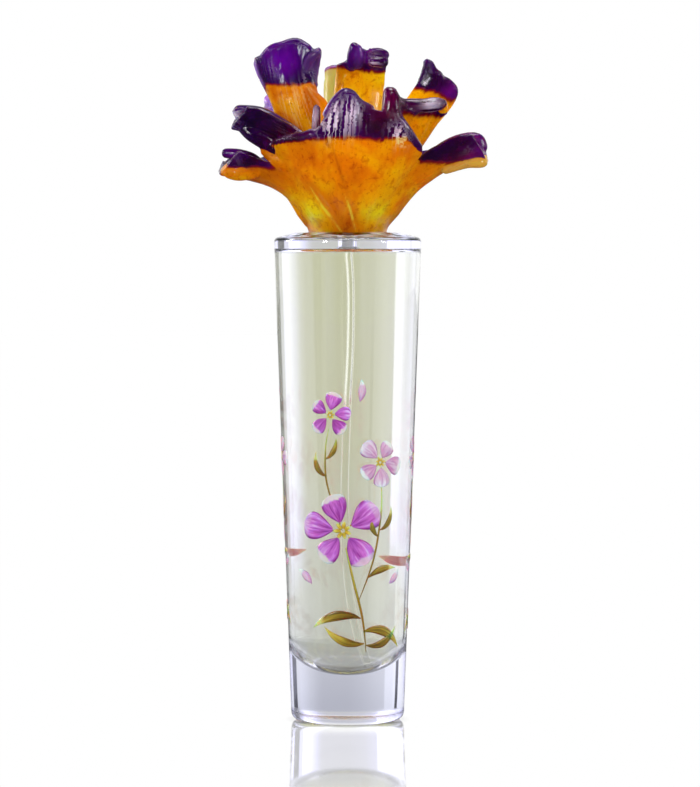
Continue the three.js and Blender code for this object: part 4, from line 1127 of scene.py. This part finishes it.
# ---- the painted flowers on the glass -----------------------------------------------------------
# Shapes are laid out flat: s is the way round the glass, 0 at the front, and z is up.
PAINT_LIFT = 0.02
PAINT_THICK = 0.08
PAINT_EDGE = 0.01
THINNEST_HALF = 0.03
FULL_HALF = 0.8  # a stroke this wide from its middle has its full thickness
SPRIGS = [  # (s of the sprig's middle, mirrored, scale, height of its foot)
    (1.0, 1, 1.0, 20), (37.5, -1, 0.94, 24), (-37.0, 1, 0.9, 27),
]
# A sprig's parts, from its foot. Stems: points (s, z, half width), then shade.
STEMS = [
    ([(4.5, 2, 0.1), (3.4, 12, 0.34), (0.5, 24, 0.36), (-1.5, 33, 0.2)], 0.3),
    ([(2.2, 17, 0.1), (7.0, 30, 0.3), (9.4, 44, 0.28), (9.2, 54, 0.12)], 0.5),
    ([(-2.6, 38, 0.1), (-7.2, 52, 0.28), (-7.6, 62, 0.24), (-6.6, 68, 0.1)], 0.4),
]
# Leaves: s, z, length, angle, bend, half width, shade.
LEAVES = [
    (3.6, 8, 14, 0.35, -0.75, 1.5, 0.2), (2.9, 12, 15, 2.75, 0.6, 1.5, 0.7),
    (4.4, 4, 12, -0.25, 0.7, 1.2, 0.9), (4.0, 4.5, 13, 3.3, -0.55, 1.3, 0.1),
    (5.2, 24, 10, 0.75, -0.5, 1.1, 0.5), (8.9, 38, 8, 0.25, 0.8, 0.9, 0.8),
    (8.4, 36, 7.5, 2.5, -0.7, 0.9, 0.3), (-7.2, 54, 8, 2.9, -0.9, 0.9, 0.6),
    (-7.6, 59, 7, 0.5, 0.6, 0.8, 0.2),
]
# Flowers: s, z, size, turn, and whether they are pale.
FLOWERS = [(-2.4, 38, 12.0, 0.5, False), (9.0, 58, 7.4, 1.1, True), (-6.2, 72, 6.4, 0.2, False)]
# Loose petals: s, z, length, angle, half width.
LOOSE_PETALS = [(2.6, 76, 6.5, 1.2, 1.2), (-12.2, 22, 6.5, 2.2, 1.3), (12.4, 22, 5.5, 0.5, 1.1)]
# Outlines along a stroke: (share of its length, share of its half width).
PETAL_OUTLINE = ((0.24, 0.12), (0.4, 0.55), (0.6, 0.92), (0.8, 1.0), (0.93, 0.72), (1.0, 0.12))
VEIN_OUTLINE = ((0.2, 0.015), (0.4, 0.04), (0.62, 0.03), (0.74, 0.006))
LEAF_OUTLINE = ((0, 0.1), (0.2, 0.62), (0.45, 1.0), (0.7, 0.75), (0.9, 0.28), (1.0, 0.03))


def stroke(points, along, across):
    """A brush stroke as a thin closed shell on the glass: points (s, z, half width)."""
    t = np.linspace(0, 1, along)
    rows = spline(points, t)
    tangent = np.gradient(rows[:, :2], axis=0)
    tangent /= np.maximum(np.linalg.norm(tangent, axis=1), 1e-9)[:, None]
    normal = np.column_stack([-tangent[:, 1], tangent[:, 0]])
    u = np.linspace(-1, 1, across + 1)
    half = np.maximum(rows[:, 2], THINNEST_HALF)
    flat = rows[:, None, :2] + normal[:, None, :] * (u[None, :] * half[:, None])[..., None]
    lift = PAINT_THICK * (1 - u[None, :] ** 4) * np.minimum(1, half / FULL_HALF)[:, None] + PAINT_EDGE
    radius = outer_radius(flat[..., 1])
    turn = flat[..., 0] / radius
    sheets = []
    for out in (radius + PAINT_LIFT + lift, radius + PAINT_LIFT):
        sheets.append(np.stack([out * np.sin(turn), -out * np.cos(turn), flat[..., 1]], -1))
    tone = np.tile(np.repeat(t, across + 1), 2)
    side = np.tile(np.tile(u, along), 2)
    return np.array(sheets).reshape(-1, 3), shell_faces(along, across + 1), tone, side


class Paint:
    """Gathers brush strokes of one colour into a single object."""

    def __init__(self, name, material):
        self.name, self.material = name, material
        self.verts, self.faces, self.facts, self.count = [], [], [], 0

    def add(self, points, shade, along, across):
        verts, faces, tone, side = stroke(points, along, across)
        self.verts.append(verts * MM)
        self.faces += [tuple(self.count + i for i in face) for face in faces]
        self.facts.append(np.column_stack([tone, side, np.full(len(tone), shade)]))
        self.count += len(verts)

    def finish(self):
        obj = mesh_object(self.name, np.concatenate(self.verts), self.faces)
        store(obj.data, "brush", np.concatenate(self.facts), "FLOAT_VECTOR")
        clothe(obj, self.material)
        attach(obj, BODY)


def curved(s, z, length, angle, bend, outline, wide):
    """Points of a stroke that turns as it goes, from where it grows."""
    line = []
    for t, w in outline:
        a = angle + bend * t
        line.append((s + length * t * math.cos(a), z + length * t * math.sin(a), wide * w))
    return line


def blossom(petals, centre, s, z, size, turn, rng, count=5):
    """Round petals with a notch between them, a darker vein beside each middle, and a dotted heart."""
    for k in range(count):
        angle = turn + 2 * math.pi * k / count + rng.uniform(-0.12, 0.12)
        reach = size * rng.uniform(0.88, 1.08)
        bend = rng.uniform(-0.16, 0.16)
        wide = reach * rng.uniform(0.30, 0.37)
        petals.add(curved(s, z, reach, angle, bend, PETAL_OUTLINE, wide), rng.uniform(0, 1), 26, 8)
        beside = angle + rng.uniform(-0.12, 0.12)
        centre.add(curved(s, z, reach, beside, 0, VEIN_OUTLINE, size), 0.9, 12, 4)
    for k in range(7):
        a = turn + 2 * math.pi * k / 7
        near, far = size * 0.05, size * rng.uniform(0.17, 0.24)
        dots = ((near, 0.03), ((near + far) / 2, 0.05), (far, 0.02))
        centre.add([(s + r * math.cos(a), z + r * math.sin(a), size * w) for r, w in dots], 0.2, 8, 4)


def lance_leaf(leaves, s, z, length, angle, bend, wide, shade):
    """A slim pointed leaf."""
    leaves.add(curved(s, z, length, angle, bend, LEAF_OUTLINE, wide), shade, 26, 6)


def add_painted_flowers(violet, blush, gold, olive):
    rng = np.random.RandomState(SEED + 20)
    petals, pale_petals = Paint("painted_petals", violet), Paint("painted_pale_petals", blush)
    hearts, leaves = Paint("painted_hearts", gold), Paint("painted_leaves", olive)
    for s0, flip, scale, foot in SPRIGS:
        def at(ds, dz):
            return s0 + flip * ds * scale, foot + dz * scale

        def lean(angle):
            return angle if flip > 0 else math.pi - angle

        for points, shade in STEMS:
            leaves.add([(*at(ds, dz), w * scale) for ds, dz, w in points], shade, 30, 4)
        for ds, dz, length, angle, bend, wide, shade in LEAVES:
            lance_leaf(leaves, *at(ds, dz), length * scale, lean(angle), flip * bend, wide * scale, shade)
        for ds, dz, size, turn, pale in FLOWERS:
            blossom(pale_petals if pale else petals, hearts, *at(ds, dz), size * scale, lean(turn), rng)
        for ds, dz, length, angle, wide in LOOSE_PETALS:
            lance_leaf(pale_petals, *at(ds, dz), length * scale, lean(angle), 0.3 * flip, wide * scale, 0.5)
    for paint in (petals, pale_petals, hearts, leaves):
        paint.finish()


# ---- materials ----------------------------------------------------------------------------------
SATIN_BELOW = 0.0027  # metres
SATIN_ROUGHNESS = 0.22


def clear_glass():
    """Polished all over, but for the satin corner and underside of the foot."""
    material, nodes = new_material("clear_glass")
    ground = nodes.math("LESS_THAN", nodes.split(nodes.place())[2], SATIN_BELOW)
    nodes.principled(Base_Color=(0.985, 0.99, 1, 1), Roughness=nodes.times(ground, SATIN_ROUGHNESS),
                     IOR=1.5, Transmission_Weight=1.0)
    return material


def see_through(name, colour, roughness, ior, tint=None):
    """A clear material. tint: (colour, density) of what fills it."""
    material, nodes = new_material(name)
    fill = tint and nodes.add("ShaderNodeVolumeAbsorption", Color=rgba(tint[0]), Density=tint[1])
    nodes.principled(fill, Base_Color=rgba(colour), Roughness=roughness, IOR=ior,
                     Transmission_Weight=1.0)
    return material


def cast_glass():
    material, nodes = new_material("cast_glass")
    violet_depth, pale, sun, crease_highlight_and_shade, ridges_and_highlight, light, red = (
        nodes.attribute(name, "Fac") for name in GLASS_VALUES)
    grain = nodes.attribute("grain", "Vector")
    place = nodes.place()

    def along_grain(across, along, detail, roughness=0.5, distortion=0.0):
        drawn = nodes.add("ShaderNodeMapping", Vector=grain, Scale=(across, along, 0.0))
        return nodes.noise(drawn.outputs[0], 1.0, detail, roughness, distortion)

    wobble = nodes.line(nodes.noise(place, 140, 2), 3.2, -1.6)
    fringe = nodes.line(along_grain(0.9, 0.1, 3), 1.6, -0.8)
    depth = nodes.plus(nodes.plus(violet_depth, wobble), fringe)
    tint = nodes.line(depth, 0.42, 0.5, clamp=True)
    # amber, from deep orange to yellow as the painted glow (sun) and a random cloud say, with brown
    # streaks, blotches and specks
    cloud = nodes.line(nodes.noise(place, 75, 4, 0.6, 0.8), 0.7, 0.13)
    amber = nodes.ramp(nodes.line(sun, 0.2, cloud), [
        (0.3, srgb(190, 84, 0)), (0.5, srgb(236, 140, 0)), (0.66, srgb(255, 186, 0)),
        (0.84, srgb(255, 236, 20))])
    streak = nodes.ramp(along_grain(0.9, 0.16, 4, 0.7, 0.4), [(0.5, 0), (0.68, 1)])
    amber = nodes.mix(nodes.times(streak, 0.35), amber, srgb(186, 80, 0))
    blotch = nodes.ramp(nodes.noise(place, 300, 3, 0.6, 0.6), [(0.58, 0), (0.68, 1)])
    amber = nodes.mix(nodes.times(blotch, 0.5), amber, srgb(160, 60, 0))
    speck = nodes.ramp(nodes.noise(place, 800, 2, 0.7), [(0.58, 0), (0.68, 1)])
    amber = nodes.mix(nodes.times(speck, 0.45), amber, srgb(150, 54, 0))
    patchy = nodes.ramp(nodes.noise(place, 330, 2), [(0.38, 0.3), (0.6, 1.7)])
    # painted highlight: bright yellow along the creases
    amber = nodes.mix(nodes.times(crease_highlight_and_shade, patchy, clamp=True), amber, srgb(255, 232, 60))
    # painted shade: dark brown in the creases
    amber = nodes.mix(nodes.times(crease_highlight_and_shade, -1.0, clamp=True), amber, srgb(120, 36, 0))
    amber = nodes.mix(pale, amber, srgb(230, 230, 120))
    # violet, from near black to bright, and from blue to red; the light spots paint it brighter
    tone = nodes.line(light, 0.3, nodes.line(nodes.noise(place, 120, 3), 0.6, 0.15))
    blue_violet = nodes.ramp(tone, [
        (0.32, srgb(20, 0, 36)), (0.55, srgb(62, 0, 96)), (0.8, srgb(110, 4, 160))])
    red_violet = nodes.ramp(tone, [
        (0.32, srgb(30, 0, 22)), (0.55, srgb(82, 0, 58)), (0.8, srgb(136, 4, 96))])
    violet = nodes.mix(nodes.times(red, 1.0, clamp=True), blue_violet, red_violet)
    violet = nodes.mix(pale, violet, srgb(196, 150, 240))
    border = nodes.mix(nodes.ramp(tint, [(0.15, 0), (0.5, 1)]), amber, srgb(140, 20, 14))
    is_violet = nodes.ramp(tint, [(0.5, 0), (0.8, 1)])
    colour = nodes.mix(is_violet, border, violet)
    # painted highlight: the ridges are painted white, in fine streaks along them
    highlight_streaks = nodes.ramp(along_grain(1.8, 0.05, 2, 0.6), [(0.49, 0), (0.55, 1.3)])
    white = nodes.times(ridges_and_highlight, highlight_streaks, clamp=True)
    # ground: the painted highlight's colour, white lilac on violet and cream on amber
    ground = nodes.mix(is_violet, srgb(255, 226, 140), srgb(240, 226, 248))
    height = nodes.plus(nodes.times(along_grain(2.4, 0.15, 3, 0.6), 0.4), white)
    height = nodes.line(nodes.noise(place, 450, 2), 0.4, height)
    nodes.principled(
        Base_Color=nodes.mix(white, colour, ground), Roughness=0.08, IOR=1.5, Transmission_Weight=0.5,
        Subsurface_Weight=0.7, Subsurface_Scale=0.005, Subsurface_Radius=(1.0, 0.5, 0.3),
        Specular_IOR_Level=nodes.line(is_violet, 0.1, 0.04), Coat_Weight=nodes.times(is_violet, 0.1),
        Coat_Roughness=0.03, Normal=nodes.bump(height, 0.4, 0.0005))
    return material


def enamel(name, light, middle, deep, tip):
    """Translucent glass paint: deep where the brush was full, washed out elsewhere."""
    material, nodes = new_material(name)
    brush = nodes.attribute("brush", "Vector")
    tone, side, shade = nodes.split(brush)
    streaks = nodes.add("ShaderNodeMapping", Vector=brush, Scale=(1.2, 2.4, 9.0))
    wash = nodes.noise(streaks.outputs[0], 1.5, 3, 0.6, 0.4)
    value = nodes.plus(nodes.line(wash, 1.7, -0.5), nodes.line(tone, -0.5, 0.3))
    value = nodes.plus(value, nodes.times(shade, 0.2))
    rim = nodes.math("POWER", nodes.math("ABSOLUTE", side), 6.0)
    value = nodes.plus(value, nodes.times(rim, 0.45), clamp=True)
    colour = nodes.ramp(value, [(0.1, srgb(*light)), (0.45, srgb(*middle)), (0.85, srgb(*deep))])
    end = nodes.ramp(nodes.plus(tone, nodes.line(wash, 0.3, -0.15)), [(0.62, 0), (0.68, 1)])
    faint = nodes.times(end, nodes.ramp(shade, [(0.35, 0), (0.45, 1)]))
    nodes.principled(
        Base_Color=nodes.mix(faint, colour, srgb(*tip)), Roughness=0.28, IOR=1.5,
        Transmission_Weight=0.1, Subsurface_Weight=0.9, Subsurface_Scale=0.0006,
        Normal=nodes.bump(wash, 0.15, 0.0002))
    return material


def plain_metal(name, colour, roughness):
    material, nodes = new_material(name)
    rough = nodes.line(nodes.noise(nodes.place(), 900, 2), 0.15, roughness - 0.07)
    nodes.principled(Base_Color=rgba(colour), Metallic=1.0, Roughness=rough)
    return material


def plain_plastic(name, colour, roughness, transmission=0.0):
    material, nodes = new_material(name)
    place = nodes.place()
    shade = nodes.mix(nodes.noise(place, 300, 2), colour, tuple(c * 0.93 for c in colour))
    nodes.principled(Base_Color=shade, Roughness=roughness, Transmission_Weight=transmission,
                     Normal=nodes.bump(nodes.noise(place, 1500, 2), 0.1, 0.0002))
    return material


def dress_inner_pieces():
    gold = plain_metal("gold_aluminium", srgb(222, 178, 96), 0.28)
    steel = plain_metal("steel", srgb(200, 202, 206), 0.22)
    white = plain_plastic("white_plastic", srgb(238, 238, 232), 0.42)
    sleeve = plain_plastic("clear_plastic", srgb(236, 236, 226), 0.3, 0.6)
    rubber = plain_plastic("rubber", srgb(52, 52, 54), 0.7)
    finishes = {
        "ferrule": gold, "actuator": gold, "inlet_ball": steel, "pump_housing": white,
        "pump_stem": white, "nozzle_insert": white, "stopper_sleeve": sleeve, "neck_gasket": rubber,
    }
    for node, material in finishes.items():
        clothe(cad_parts[node], material)
    add_spring(steel)


# ---- the scene ----------------------------------------------------------------------------------
PERFUME_TINT = ((0.925, 0.939, 0.42), 20.0)
ENAMELS = [  # sRGB colours: light, middle, deep, and washed-out tip
    ("enamel_violet", (226, 190, 226), (192, 104, 196), (134, 44, 140), (214, 196, 196)),
    ("enamel_blush", (232, 220, 222), (214, 178, 198), (184, 116, 166), (228, 216, 214)),
    ("enamel_gold", (246, 222, 120), (222, 168, 44), (150, 100, 20), (240, 214, 120)),
    ("enamel_olive", (216, 200, 90), (134, 118, 30), (66, 58, 18), (206, 196, 120)),
]


def set_picture():
    scene = bpy.context.scene
    scene.view_settings.view_transform = "Standard"
    scene.cycles.max_bounces = 32
    scene.cycles.transmission_bounces = 32
    scene.cycles.transparent_max_bounces = 32
    scene.cycles.glossy_bounces = 12


set_picture()
add_camera()
add_world()
add_floor()
add_lights()
add_bottle(clear_glass())
add_perfume(see_through("perfume", 1.0, 0.0, 1.36, PERFUME_TINT))
add_dip_tube(see_through("tube_plastic", (0.97, 0.97, 0.95), 0.02, 1.1),
             see_through("tube_air", 1.0, 0.0, 0.735))
add_bloom(cast_glass())
dress_inner_pieces()
add_painted_flowers(*(enamel(*colours) for colours in ENAMELS))
